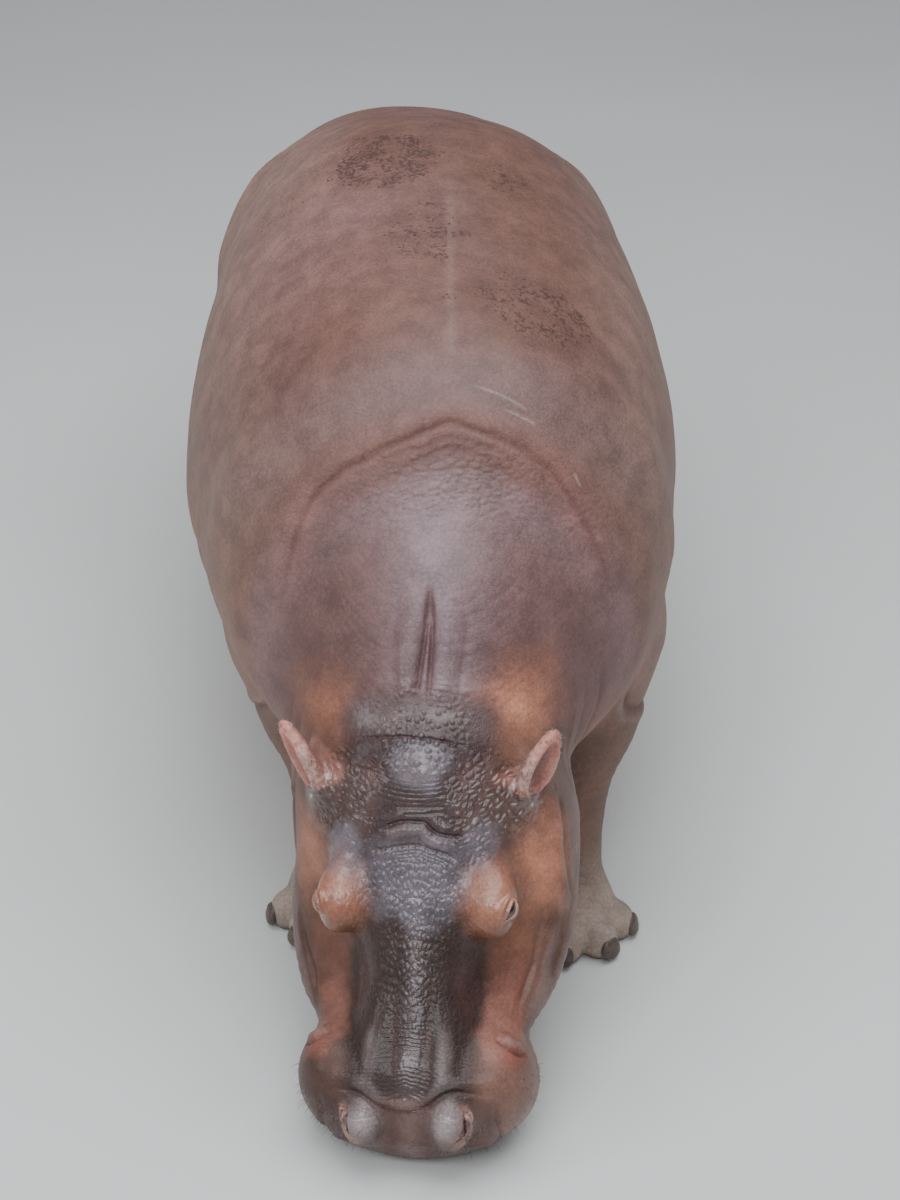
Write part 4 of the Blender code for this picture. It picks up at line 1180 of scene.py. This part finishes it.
def eye_colours(paint, s):
    """The pink mound round an eye, with a painted highlight on its top and painted shade on its lower side,
    pale and dark along the edge of the lids.
    """
    q = paint.q
    x, y, _ = q.T
    mound = paint.spot(q, (s * 0.158, -0.298, -0.050), (0.060, 0.075, 0.070), 0.55)
    paint.lay(FLESHY, mound * 0.95)
    # painted highlight: a pale spot on the top of the mound
    paint.lay((206, 156, 138), mound * hump(np.hypot(x - s * 0.150, y + 0.285), 0.024) * 0.5)
    # painted shade: the mound's lower side darkened
    paint.lay((104, 72, 57), mound * step_up(y, -0.315, -0.365) * 0.75)
    paint.smooth = np.maximum(paint.smooth, mound)
    near, _, far, u, v, turn = round_eye(q, s)
    edge = lid_edge(u, v)
    share = np.zeros(len(q))
    share[near] = hump(edge - 0.05, 0.07) * step_up(turn, 1.6, 1.2)
    paint.lay((188, 138, 120), share * 0.7)
    share[near] = step_up(edge, 0.0, -0.04) * (far < 0.045) * step_up(turn, 1.6, 1.2)
    paint.lay((48, 24, 20), share)
    share[near] = hump(edge - 0.36, 0.06) * step_up(turn, 1.5, 1.1)
    paint.lay((140, 84, 66), share * 0.6)
    share[near] = step_up(turn, 1.9, 1.2) * (far < 0.06)
    paint.wet = np.maximum(paint.wet, share * 0.85)
    paint.wet = np.maximum(paint.wet, mound * 0.75)


def ear_colours(paint, s):
    """Brown behind, pink in the cup, dark at its bottom and pale along the rim."""
    ear = placed(paint.p, ear_frame(s).inverted())
    across, out, up = ear.T
    whole = within(ear, (-0.06, -0.05, 0.02), (0.06, 0.05, 0.19), 0.01)
    paint.lay((196, 140, 128), whole * 0.9)
    paint.lay((128, 90, 80), whole * step_up(out, 0.004, 0.020) * 0.7)
    cup = whole * step_up(out, 0.006, -0.004) * hump(across / 0.030, 1.0)
    paint.lay((222, 144, 132), cup * 0.8)
    paint.lay((120, 70, 62), cup * hump(across / 0.018, 1.0) * hump(up - 0.055, 0.035) * 0.7)
    rim = whole * step_up(np.abs(across), 0.030, 0.040) * step_up(out, 0.010, -0.004)
    paint.lay((204, 168, 156), rim * 0.6)
    paint.smooth = np.maximum(paint.smooth, whole)


def nostril_colours(paint, s, head):
    """A wet mound, pale with painted sheen, with a reddish slit in a pink rim."""
    x, y, _ = paint.q.T
    pad = hump(np.hypot((x - s * 0.084) / 0.78, y + 0.733), 0.036) * head
    # painted sheen: the nostril's mound laid pale whitish grey
    paint.lay((184, 170, 170), pad * 0.8)
    paint.lay((104, 84, 82), pad * step_up(y, -0.725, -0.700) * 0.8)
    paint.wet = np.maximum(paint.wet, pad)
    slit = nostril_slit(s)
    paint.lay((206, 158, 142), paint.line(slit, 0.0100, HEAD) * 0.85)
    paint.lay((142, 72, 58), paint.line(slit, 0.0042, HEAD) * 0.9)


def mouth_colours(paint):
    """Red brown along the closed lips, with painted shade in the line between them."""
    _, y, z = paint.q.T
    level = mouth_level(y)
    paint.lay((140, 90, 80), hump(z - level, 0.022) * step_up(y, -0.14, -0.30) * (z < -0.1) * 0.7)
    # painted shade: a near-black line where the lips meet
    paint.lay((70, 36, 32), hump(z - level, 0.006) * step_up(y, -0.12, -0.25) * (z < -0.1) * 0.8)


def head_colours(paint):
    """The head from its broad colours to its small ones, painted highlights among them, then where it is wet
    and how coarse its grain is.
    """
    q = paint.q
    x, y, z = q.T
    head = step_up(y, 0.10, 0.0) * step_up(z, -0.60, -0.50) * step_up(np.abs(x), 0.36, 0.31)
    top = step_up(z, -0.20, -0.12)
    blotch = layered(q, 0.07, 5)
    cheek_colours(paint, head, blotch)
    crown, pads = crown_colours(paint, head, blotch)
    bridge = nose_colours(paint, top, blotch)
    front = muzzle_colours(paint, head)
    for s in (1, -1):
        cheek_patches(paint, s)
        eye_colours(paint, s)
        ear_colours(paint, s)
        nostril_colours(paint, s, head)
        under_ear = [(s * 0.186, -0.050, -0.050), (s * 0.200, -0.078, -0.068), (s * 0.225, -0.105, -0.092)]
        paint.lay((226, 206, 200), paint.line(under_ear, 0.0030, HEAD) * 0.9)
    mouth_colours(paint)
    sheen = crown * (0.65 + 0.35 * blotch)
    # painted highlight: pale bluish-grey spots over both brows, the poll and between the eyes, also counted
    # as wet
    for at, reach in (((-0.145, -0.205, -0.045), (0.038, 0.055, 0.05)),
                      ((0.130, -0.180, -0.035), (0.035, 0.045, 0.05)),
                      ((0.005, -0.037, 0.01), (0.06, 0.05, 0.05)), ((0.0, -0.26, -0.03), (0.10, 0.09, 0.06))):
        spot = paint.spot(q, at, reach)
        sheen = np.maximum(sheen, spot)
        paint.lay((140, 134, 146), spot * 0.40)
    streak = top * hump(x - 0.008, 0.040) * step_up(y, -0.24, -0.34)
    for wet in (0.85 * pads, streak, 0.5 * bridge, 0.5 * front, 0.35 * head):
        sheen = np.maximum(sheen, wet)
    paint.wet = np.maximum(paint.wet, sheen)
    paint.grain += 0.45 * np.maximum(crown, bridge)
    paint.grain *= 1 - 0.75 * paint.smooth


def coloured(skin):
    """The hide's base colour, and its wet, speckle and grain masks, for each point. Creases are darkened with
    painted shade and proud grains paled with a painted highlight, against what they are in."""
    paint = Paint(skin)
    body_colours(paint)
    head_colours(paint)
    # painted shade: creases darkened as deep as the relief sinks
    painted_crease_shade = step_up(-skin.relief, 0.0008, 0.0065)
    paint.lay((92, 58, 52), painted_crease_shade * 0.55)
    # painted highlight: raised grains made paler grey
    proud = step_up(skin.relief, 0.0015, 0.0050) * (skin.head[:, 1] < 0.20)
    paint.lay((150, 132, 132), proud * 0.30)
    paint.tone *= (1 + 0.05 * layered(paint.p, 0.06, 3))[:, None]
    shade = 0.06 * step_up(skin.head[:, 1], 0.14, 0.04) * step_up(paint.p[:, 1], -0.85, -0.95)
    paint.tone *= (1 - shade)[:, None]
    return paint.tone, np.column_stack([np.clip(paint.wet, 0, 1), paint.speckle, paint.grain])


# ---------------------------------------------------------------- materials
class Shading:
    """Places shader nodes in a tree. Inputs go by socket name, each a value or another node's socket."""

    def __init__(self, tree):
        self.tree = tree

    def node(self, kind, inputs=(), **settings):
        made = self.tree.nodes.new("ShaderNode" + kind)
        for name, value in settings.items():
            setattr(made, name, value)
        for name, value in dict(inputs).items():
            socket = made.inputs[name]
            if isinstance(value, bpy.types.NodeSocket):
                self.tree.links.new(value, socket)
            else:
                socket.default_value = value
        return made

    def math(self, operation, a, b=0.0, clamp=False):
        return self.node("Math", {0: a, 1: b}, operation=operation, use_clamp=clamp).outputs[0]

    def times(self, a, b):
        return self.math("MULTIPLY", a, b)

    def ramp(self, value, low, high, start=0.0, end=1.0):
        ends = {"Value": value, "From Min": low, "From Max": high, "To Min": start, "To Max": end}
        return self.node("MapRange", ends, interpolation_type="SMOOTHSTEP").outputs[0]

    def place(self):
        return self.node("TexCoord").outputs["Object"]

    def noise(self, place, scale, detail=2.0, roughness=0.5):
        amounts = {"Vector": place, "Scale": scale, "Detail": detail, "Roughness": roughness}
        return self.node("TexNoise", amounts).outputs["Fac"]

    def shaded(self, colour, amount):
        grey = self.node("CombineXYZ", {0: amount, 1: amount, 2: amount}).outputs[0]
        return self.mix(colour, grey, 1.0, "MULTIPLY")

    def feed(self, node, **values):
        """Links values to a node's inputs, each named by its label in small letters with _ for a space."""
        for name, value in values.items():
            self.tree.links.new(value, node.inputs[name.replace("_", " ").title()])

    def mix(self, a, b, amount, blend="MIX"):
        made = self.node("Mix", {"Factor": amount}, data_type="RGBA", blend_type=blend)
        for socket, value in ((made.inputs[6], a), (made.inputs[7], b)):
            if isinstance(value, bpy.types.NodeSocket):
                self.tree.links.new(value, socket)
            else:
                socket.default_value = value
        return made.outputs[2]


def effect(name, inputs, outputs):
    """A new shader node group. Its inputs are (name, kind, default) and its outputs (name, kind)."""
    tree = bpy.data.node_groups.new(name, "ShaderNodeTree")
    for label, kind, default in inputs:
        socket = tree.interface.new_socket(label, in_out="INPUT", socket_type="NodeSocket" + kind)
        if default is not None:
            socket.default_value = default
    for label, kind in outputs:
        tree.interface.new_socket(label, in_out="OUTPUT", socket_type="NodeSocket" + kind)
    shading = Shading(tree)
    return shading, tree.nodes.new("NodeGroupInput"), tree.nodes.new("NodeGroupOutput")


def hide_grain():
    """Fine cracked skin: a height for bump, its cracks, a mottle for colour and scattered dark specks."""
    shading, given, made = effect(
        "hide grain", [("Place", "Vector", None), ("Crack Size", "Float", 0.012), ("Speckle", "Float", 0.0)],
        [(label, "Float") for label in ("Height", "Cracks", "Mottle", "Specks")])
    place, size = given.outputs["Place"], given.outputs["Crack Size"]
    fine = shading.math("DIVIDE", 1.0, size)
    bend = shading.node("TexNoise", {"Vector": place, "Scale": 38.0, "Detail": 2.0}).outputs["Color"]
    bent = shading.node("VectorMath", {0: bend, 1: (0.014, 0.014, 0.014)}, operation="MULTIPLY").outputs[0]
    moved = shading.node("VectorMath", {0: place, 1: bent}, operation="ADD").outputs[0]
    plates = shading.node("TexVoronoi", {"Vector": moved, "Scale": fine}, feature="DISTANCE_TO_EDGE")
    finer = {"Vector": moved, "Scale": shading.times(fine, 2.7)}
    small = shading.node("TexVoronoi", finer, feature="DISTANCE_TO_EDGE")
    cracks = shading.ramp(plates.outputs["Distance"], 0.0, 0.16, 1.0, 0.0)
    hairline = shading.ramp(small.outputs["Distance"], 0.0, 0.20, 1.0, 0.0)
    dust = shading.noise(place, 420.0, 3.0)
    height = shading.math("SUBTRACT", shading.times(dust, 0.35), shading.times(cracks, 0.6))
    height = shading.math("SUBTRACT", height, shading.times(hairline, 0.30))
    wash, pore = shading.noise(place, 16.0, 6.0, 0.62), shading.noise(place, 150.0, 3.0, 0.6)
    mottle = shading.math("ADD", shading.times(wash, 0.6), shading.times(pore, 0.4))
    grit, clump = shading.noise(place, 105.0, 4.0, 0.68), shading.noise(place, 22.0)
    level = shading.math("ADD", shading.times(grit, 0.75), shading.times(clump, 0.30))
    limit = shading.math("SUBTRACT", 0.80, shading.times(given.outputs["Speckle"], 0.275))
    specks = shading.ramp(shading.math("SUBTRACT", level, limit), 0.0, 0.035)
    shading.feed(made, height=height, cracks=cracks, mottle=mottle, specks=specks)
    return shading.tree


def material(name, **constants):
    """A new material, its nodes' helper and its shader, whose sockets named in constants are set."""
    made = bpy.data.materials.new(name)
    made.use_nodes = True
    shader = made.node_tree.nodes["Principled BSDF"]
    for socket, value in constants.items():
        shader.inputs[socket.replace("_", " ").title()].default_value = value
    return made, Shading(made.node_tree), shader


def hide_material(grain):
    """Painted tone under mottle, cracks and specks, rougher where dry and filmed with water where wet."""
    made, shading, shader = material("hide", coat_roughness=0.16)
    shader.inputs["IOR"].default_value = 1.42
    tone = shading.node("Attribute", attribute_name="tone").outputs["Color"]
    finish = shading.node("Attribute", attribute_name="finish").outputs["Vector"]
    wet, speckle, strength = shading.node("SeparateXYZ", {0: finish}).outputs
    group = shading.node("Group", node_tree=grain)
    group.inputs["Crack Size"].default_value = 0.013
    shading.feed(group, place=shading.place(), speckle=speckle)
    mottle = group.outputs["Mottle"]
    colour = shading.shaded(tone, shading.ramp(mottle, 0.32, 0.68, 0.72, 1.24))
    colour = shading.mix(colour, (0.10, 0.05, 0.04, 1), shading.times(group.outputs["Cracks"], 0.16))
    colour = shading.mix(colour, (0.050, 0.024, 0.020, 1), shading.times(group.outputs["Specks"], 0.72))
    rough = shading.math("SUBTRACT", 0.60, shading.times(wet, 0.30))
    rough = shading.math("ADD", rough, shading.ramp(mottle, 0.3, 0.7, -0.07, 0.07))
    patchy = shading.ramp(mottle, 0.35, 0.60, 0.5, 1.3)
    film = shading.math("MULTIPLY", shading.times(wet, wet), patchy, clamp=True)
    height = shading.times(group.outputs["Height"], strength)
    bump = shading.node("Bump", {"Height": height, "Strength": 0.55, "Distance": 0.0022}).outputs[0]
    shading.feed(shader, base_color=colour, roughness=rough, coat_weight=film, normal=bump)
    return made


def nail_material(grain):
    """Dark horn with paler growth bands."""
    made, shading, shader = material("nail horn", coat_roughness=0.2, coat_weight=0.2)
    place = shading.place()
    group = shading.node("Group", node_tree=grain)
    group.inputs["Crack Size"].default_value = 0.006
    shading.feed(group, place=place)
    waves = {"Vector": place, "Scale": 130.0, "Distortion": 1.6, "Detail": 2.0}
    band = shading.node("TexWave", waves, bands_direction="Z").outputs["Fac"]
    worn = shading.ramp(group.outputs["Mottle"], 0.35, 0.65)
    colour = shading.mix((0.030, 0.019, 0.015, 1), (0.13, 0.088, 0.068, 1), worn)
    colour = shading.mix(colour, (0.22, 0.16, 0.13, 1), shading.times(band, 0.25))
    height = shading.math("ADD", shading.times(band, 0.5), shading.times(group.outputs["Height"], 0.5))
    bump = shading.node("Bump", {"Height": height, "Strength": 0.5, "Distance": 0.0008}).outputs[0]
    shading.feed(shader, base_color=colour, roughness=shading.ramp(band, 0.0, 1.0, 0.36, 0.52), normal=bump)
    return made


def eye_material():
    """Painted white, iris and pupil, flecked, under a clear wet coat."""
    made, shading, shader = material("wet eye", coat_weight=1.0, coat_roughness=0.03, roughness=0.12)
    tone = shading.node("Attribute", attribute_name="tone").outputs["Color"]
    fleck = shading.noise(shading.place(), 700.0, 3.0)
    shading.feed(shader, base_color=shading.shaded(tone, shading.ramp(fleck, 0.3, 0.7, 0.75, 1.25)))
    return made


def bristle_material():
    """Stiff hair, from pale to nearly black."""
    made, shading, shader = material("bristle", roughness=0.42)
    dark = shading.ramp(shading.noise(shading.place(), 90.0), 0.4, 0.6)
    shading.feed(shader, base_color=shading.mix((0.32, 0.25, 0.20, 1), (0.05, 0.035, 0.03, 1), dark))
    return made


# ---------------------------------------------------------------- pieces
def eye_place(s):
    return HEAD @ Matrix.Translation((s * EYE[0], EYE[1], EYE[2])) @ turned(90, "Y")


low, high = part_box("eye_left")
SHIFT = (Vector(low) + Vector(high)) / 2 - eye_place(1).translation
SHIFT.z = 0


def shown(name, mesh, slot, *replaced):
    """A piece of the animal, moved from anatomy coordinates to the frame's, riding on its body."""
    obj = bpy.data.objects.new(name, mesh)
    bpy.context.scene.collection.objects.link(obj)
    mesh.transform(Matrix.Translation(SHIFT))
    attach(obj, "root")
    if replaced:
        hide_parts(*replaced)
    return obj


def ball_mesh(rings, segments):
    """Points and triangles of a unit ball, its poles on z."""
    turn = np.linspace(0, math.pi, rings + 1)[1:-1]
    round_it = np.arange(segments) * 2 * math.pi / segments
    ring = np.stack([np.outer(np.sin(turn), np.cos(round_it)), np.outer(np.sin(turn), np.sin(round_it)),
                     np.outer(np.cos(turn), np.ones(segments))], axis=-1).reshape(-1, 3)
    points = np.concatenate([ring, [(0, 0, 1), (0, 0, -1)]])
    top, bottom = len(ring), len(ring) + 1
    faces = []
    for j in range(segments):
        k = (j + 1) % segments
        faces.append((top, j, k))
        last = (rings - 2) * segments
        faces.append((bottom, last + k, last + j))
        for i in range(rings - 2):
            a, b = i * segments, (i + 1) * segments
            faces += [(a + j, b + j, b + k), (a + j, b + k, a + k)]
    return points, np.array(faces)


HEAD_SCALE = 2.2            # the head's islands on the hide's map, against the body's
MAP_GAP = 0.012             # free width round each island


def facing(skin):
    """The axis that each triangle faces most, and one of six ways, after the normals are evened out."""
    faces, count = skin.faces, len(skin.points)
    way = skin.normals
    for _ in range(12):
        over = way[faces].mean(axis=1)
        way = np.stack([np.bincount(faces.ravel(), np.repeat(over[:, i], 3), count) for i in range(3)],
                       axis=1)
        way /= np.linalg.norm(way, axis=1)[:, None] + 1e-12
    over = way[faces].mean(axis=1)
    axis = np.abs(over).argmax(axis=1)
    return axis, 2 * axis + (over[np.arange(len(faces)), axis] > 0)


def islands_of(faces, kind):
    """A number for each triangle, the same for those of one kind that hang together by shared points."""
    _, key = np.unique(faces * 12 + kind[:, None], return_inverse=True)
    key = key.reshape(-1)
    order = np.argsort(key, kind="stable")
    starts = np.flatnonzero(np.diff(key[order], prepend=-1))
    island = np.arange(len(faces))
    while True:
        least = np.minimum.reduceat(np.repeat(island, 3)[order], starts)
        joined = np.arange(len(faces))
        np.minimum.at(joined, island, least[key].reshape(-1, 3).min(axis=1))
        joined = joined[joined[joined[joined[island]]]]
        if (joined == island).all():
            return np.unique(island, return_inverse=True)[1]
        island = joined


def on_shelves(size):
    """Places in rows for rectangles of these sizes, tallest first, and the side of the square they need."""
    order = np.argsort(-size[:, 1], kind="stable")
    best, least = None, np.inf
    for wide in math.sqrt(size.prod(axis=1).sum()) * np.linspace(1.0, 1.6, 25):
        place, x, y, shelf = np.zeros((len(size), 2)), 0.0, 0.0, 0.0
        for i in order:
            if x + size[i, 0] > wide and x > 0:
                x, y, shelf = 0.0, y + shelf, 0.0
            place[i] = x, y
            x, shelf = x + size[i, 0], max(shelf, size[i, 1])
        if max(wide, y + shelf) < least:
            best, least = place, max(wide, y + shelf)
    return best, least


def unwrapped(skin):
    """The hide laid out flat, for each triangle's corners, in islands that each face one of six ways."""
    axis, way = facing(skin)
    q = skin.head[skin.faces].mean(axis=1)
    on_head = (q[:, 1] < 0.08) & (q[:, 2] > -0.52) & (np.abs(q[:, 0]) < 0.34)
    island = islands_of(skin.faces, way + 6 * on_head)
    flat = np.array([(1, 2), (0, 2), (0, 1)])[axis][:, None].repeat(3, axis=1)
    uv = np.take_along_axis(skin.points[skin.faces], flat, axis=2)
    uv *= np.where(on_head, HEAD_SCALE, 1.0)[:, None, None]
    count = island.max() + 1
    low, high = np.full((count, 2), np.inf), np.full((count, 2), -np.inf)
    for i in (0, 1):
        np.minimum.at(low[:, i], island, uv[..., i].min(axis=1))
        np.maximum.at(high[:, i], island, uv[..., i].max(axis=1))
    place, side = on_shelves(high - low + MAP_GAP)
    return (uv - low[island][:, None] + place[island][:, None] + MAP_GAP / 2) / side


def set_map(mesh, uv):
    mesh.uv_layers.new(name="OFBake").data.foreach_set("uv", uv.astype(np.float32).ravel())


def set_tone(mesh, tone):
    colours = mesh.color_attributes.new("tone", "FLOAT_COLOR", "POINT")
    colours.data.foreach_set("color", np.column_stack([tone, np.ones(len(tone))]).astype(np.float32).ravel())


FLESH = ["ear_left", "ear_right", "head", "lower_jaw", "neck", "tail", "trunk"] + [
    f"{end}_{part}_{side}" for end in ENDS for part in ("leg", "foot") for side in SIDES]


def hide(grain):
    """The one skin over all the flesh. Gives back its points for the bristles to stand on."""
    skin = Skin(whole_masses())
    sculpted(skin)
    tone, finish = coloured(skin)
    mesh = mesh_of("hide", skin.points, skin.faces)
    set_tone(mesh, tone)
    masks = mesh.attributes.new("finish", "FLOAT_VECTOR", "POINT")
    masks.data.foreach_set("vector", finish.astype(np.float32).ravel())
    set_map(mesh, unwrapped(skin))
    mesh.materials.append(hide_material(grain))
    shown("hide", mesh, "skin", *FLESH)
    return skin


def eyes(wet):
    """An eyeball each side: reddish white, brown iris, level oval pupil and a slightly proud cornea."""
    for side, s in SIDES.items():
        gaze, along, up = (np.array(axis) * (s, 1, 1) / np.linalg.norm(axis) for axis in EYE_AXES)
        up = np.cross(gaze, along) * -s
        points, faces = ball_mesh(40, 56)
        turn = np.arccos(np.clip(points[:, 2], -1, 1))
        level, high = points[:, 0], points[:, 1]
        tone = np.tile(linear((84, 54, 44)), (len(points), 1))
        for colour, amount in (((46, 26, 18), step_up(turn, 0.72, 0.62)),
                               ((92, 54, 30), hump(turn - 0.42, 0.14)),
                               ((4, 3, 3), step_up(np.hypot(level / 1.5, high) + 9 * (points[:, 2] < 0), 0.20,
                                                   0.16))):
            tone += (linear(colour) - tone) * amount[:, None]
        reach = EYE_RADIUS * (1 + 0.035 * hump(turn, 0.50))
        place = np.array([along, up, gaze]).T
        if np.linalg.det(place) < 0:
            faces = faces[:, ::-1]
        points = placed((points * reach[:, None]) @ place.T + np.array(EYE) * (s, 1, 1), HEAD)
        mesh = mesh_of("eye", points, faces)
        set_tone(mesh, tone)
        mesh.materials.append(wet)
        shown("eyeball_" + side, mesh, "eye", "eye_" + side)


def nails(horn):
    """A blunt nail on each toe: domed in front, worn flat below, with growth ridges across it."""
    parts, faces, names = [], [], []
    ball, ball_faces = ball_mesh(20, 28)
    for side, s in SIDES.items():
        for end in ENDS:
            for i, angle in enumerate(TOE_ANGLES):
                place = (foot_frame(end, s) @ turned(angle, "Z") @ Matrix.Translation((0, -0.137, 0.032))
                         @ turned(-12, "X"))
                shape = np.sign(ball) * np.abs(ball) ** 0.86
                shape = shape * NAIL * (1.0, 1.0 + 0.03 * (i % 2), 1.0)
                shape[:, 0] *= 1 + 0.10 * step_up(-shape[:, 2], -0.01, 0.02)
                shape[:, 1] -= 0.0007 * np.sin(shape[:, 2] * 900 + i) * (shape[:, 1] < 0)
                point = placed(shape, place)
                point[:, 2] = np.maximum(point[:, 2], 0.0015)
                faces.append(ball_faces + len(ball) * len(parts))
                parts.append(point)
                names.append(f"{end}_nail_{side}_{i + 1}")
    mesh = mesh_of("nails", np.concatenate(parts), np.concatenate(faces))
    mesh.materials.append(horn)
    shown("nails", mesh, "nail", *names)


def bristle_roots(skin):
    """Where hairs stand: for each its point on the skin, the way it grows and its length."""
    q, p = skin.head, skin.points
    number = np.arange(len(q))
    chance = hashed(np.column_stack([number, 0 * number, 0 * number]), 7)
    lip = (q[:, 1] < -0.60) & (np.abs(q[:, 0]) > 0.06) & (q[:, 2] < -0.09) & (q[:, 2] > -0.24)
    lip &= (chance < 0.012) & (p[:, 2] > 0.045)
    kinds = [(lip, (0, 0, -0.25), 0.014)]
    for s in (1, -1):
        ear = placed(p, ear_frame(s).inverted())
        rim = ((ear[:, 2] > 0.06) & (ear[:, 2] < 0.18) & (np.abs(ear[:, 0]) < 0.06)
               & (np.abs(ear[:, 1]) < 0.03))
        rim &= (np.hypot(ear[:, 0] / 0.040, (ear[:, 2] - 0.08) / 0.080) > 0.95) & (chance < 0.10)
        kinds.append((rim, (0, 0, 0), 0.011))
    tip = ((p[:, 1] > 1.40) & (p[:, 2] < 0.76) & (p[:, 2] > 0.58) & (np.abs(skin.normals[:, 1]) > 0.55)
           & (chance < 0.22))
    kinds.append((tip, (0, 0, -1.6), 0.045))
    roots = np.concatenate([np.flatnonzero(where) for where, lean, length in kinds])
    ways = np.concatenate([skin.normals[where] + lean for where, lean, length in kinds])
    lengths = np.concatenate([np.full(where.sum(), length) for where, lean, length in kinds])
    lengths = lengths * (0.6 + 0.8 * chance[roots[::-1]] / chance[roots].max())
    root = np.column_stack([roots, roots, roots])
    ways = ways + 0.5 * np.stack([hashed(root, n) - 0.5 for n in (1, 2, 3)], axis=1)
    return roots, ways / np.linalg.norm(ways, axis=1)[:, None], lengths


def bristles(skin, horn):
    """Sparse stiff hairs, three-sided and tapered: on the upper lip, the ears' rims and the tail's tip."""
    roots, ways, lengths = bristle_roots(skin)
    count, steps = len(roots), 4
    across = np.cross(ways, (0.3, 0.5, 0.8))
    across /= np.linalg.norm(across, axis=1)[:, None]
    other = np.cross(ways, across)
    points = []
    for i in range(steps):
        t = i / (steps - 1)
        middle = skin.points[roots] + ways * (lengths * t - 0.001)[:, None]
        middle = middle - np.array((0, 0, 0.35)) * (lengths * t * t)[:, None]
        for a in range(3):
            turn = a * 2 * math.pi / 3
            thick = 0.00055 * (1 - 0.8 * t) * (1 + 0.6 * (lengths > 0.02))
            points.append(middle + (across * math.cos(turn) + other * math.sin(turn)) * thick[:, None])
    points = np.stack(points, axis=1)
    faces, places = [], []
    for i in range(steps - 1):
        for a in range(3):
            b = (a + 1) % 3
            near, far = 3 * i, 3 * i + 3
            faces += [(near + a, near + b, far + b), (near + a, far + b, far + a)]
            corners = (0, 0), (1, 0), (1, 1), (0, 0), (1, 1), (0, 1)
            places += [((a + c) / 3, (i + r) / (steps - 1)) for c, r in corners]
    faces += [(0, 2, 1), (3 * steps - 3, 3 * steps - 2, 3 * steps - 1)]
    places += [(0, 0), (0.3, 0), (0.3, 0.05), (0, 1), (0.3, 1), (0.3, 0.95)]
    all_faces = (np.array(faces)[None] + (np.arange(count) * 3 * steps)[:, None, None]).reshape(-1, 3)
    mesh = mesh_of("bristles", points.reshape(-1, 3), all_faces)
    wide = int(math.ceil(math.sqrt(count)))
    cell = np.stack([np.arange(count) % wide, np.arange(count) // wide], axis=1)
    set_map(mesh, (cell[:, None] + 0.05 + 0.9 * np.array(places)[None]) / wide)
    mesh.materials.append(horn)
    shown("bristles", mesh, None)


DAYLIGHT = (0.92, 0.96, 1.0)
LIGHTS = (("sky", (0.3, -0.6, 5.2), (5.5, 5.0), 300), ("front", (-1.2, -5.4, 4.7), (4.6, 2.0), 178),
          ("left", (-5.2, -2.6, 3.2), (2.0, 2.0), 50))      # name, place, size and power in watts
LIT = Vector((0, -0.4, 0.7))                                # what they all point at
CAMERA_AT, CAMERA_DOWN, CAMERA_LEFT, LENS = (-0.26, -6.6, 4.5), 31.9, -2.5, 67.6


def studio():
    """A pale floor, soft light and the camera."""
    floor = bpy.data.objects.new("floor", bpy.data.meshes.new("floor"))
    bm = bmesh.new()
    bmesh.ops.create_grid(bm, x_segments=1, y_segments=1, size=30)
    bm.to_mesh(floor.data)
    bm.free()
    bpy.context.scene.collection.objects.link(floor)
    paint, shading, shader = material("floor", roughness=0.9)
    tint = shading.noise(shading.place(), 1.2, 3.0)
    shading.feed(shader, base_color=shading.mix((0.70, 0.70, 0.68, 1), (0.76, 0.76, 0.74, 1), tint))
    floor.data.materials.append(paint)
    world = bpy.data.worlds.new("studio")
    bpy.context.scene.world = world
    world.use_nodes = True
    world.node_tree.nodes["Background"].inputs["Color"].default_value = (0.90, 0.95, 1.0, 1)
    world.node_tree.nodes["Background"].inputs["Strength"].default_value = 0.27
    for name, place, size, power in LIGHTS:
        light = bpy.data.lights.new(name, "AREA")
        light.shape, light.color = "RECTANGLE", DAYLIGHT
        light.size, light.size_y, light.energy = *size, power
        lamp = bpy.data.objects.new(name, light)
        lamp.location = place
        lamp.rotation_euler = (LIT - Vector(place)).to_track_quat("-Z", "Y").to_euler()
        bpy.context.scene.collection.objects.link(lamp)
    camera = bpy.data.objects.new("camera", bpy.data.cameras.new("camera"))
    camera.data.sensor_fit = "VERTICAL"
    camera.data.sensor_height = 24
    camera.data.lens = LENS
    camera.location = Vector(CAMERA_AT) + SHIFT
    camera.rotation_euler = (math.radians(90 - CAMERA_DOWN), 0, math.radians(CAMERA_LEFT))
    bpy.context.scene.collection.objects.link(camera)
    bpy.context.scene.camera = camera


GRAIN = hide_grain()
BODY_SKIN = hide(GRAIN)
eyes(eye_material())
nails(nail_material(GRAIN))
bristles(BODY_SKIN, bristle_material())
studio()
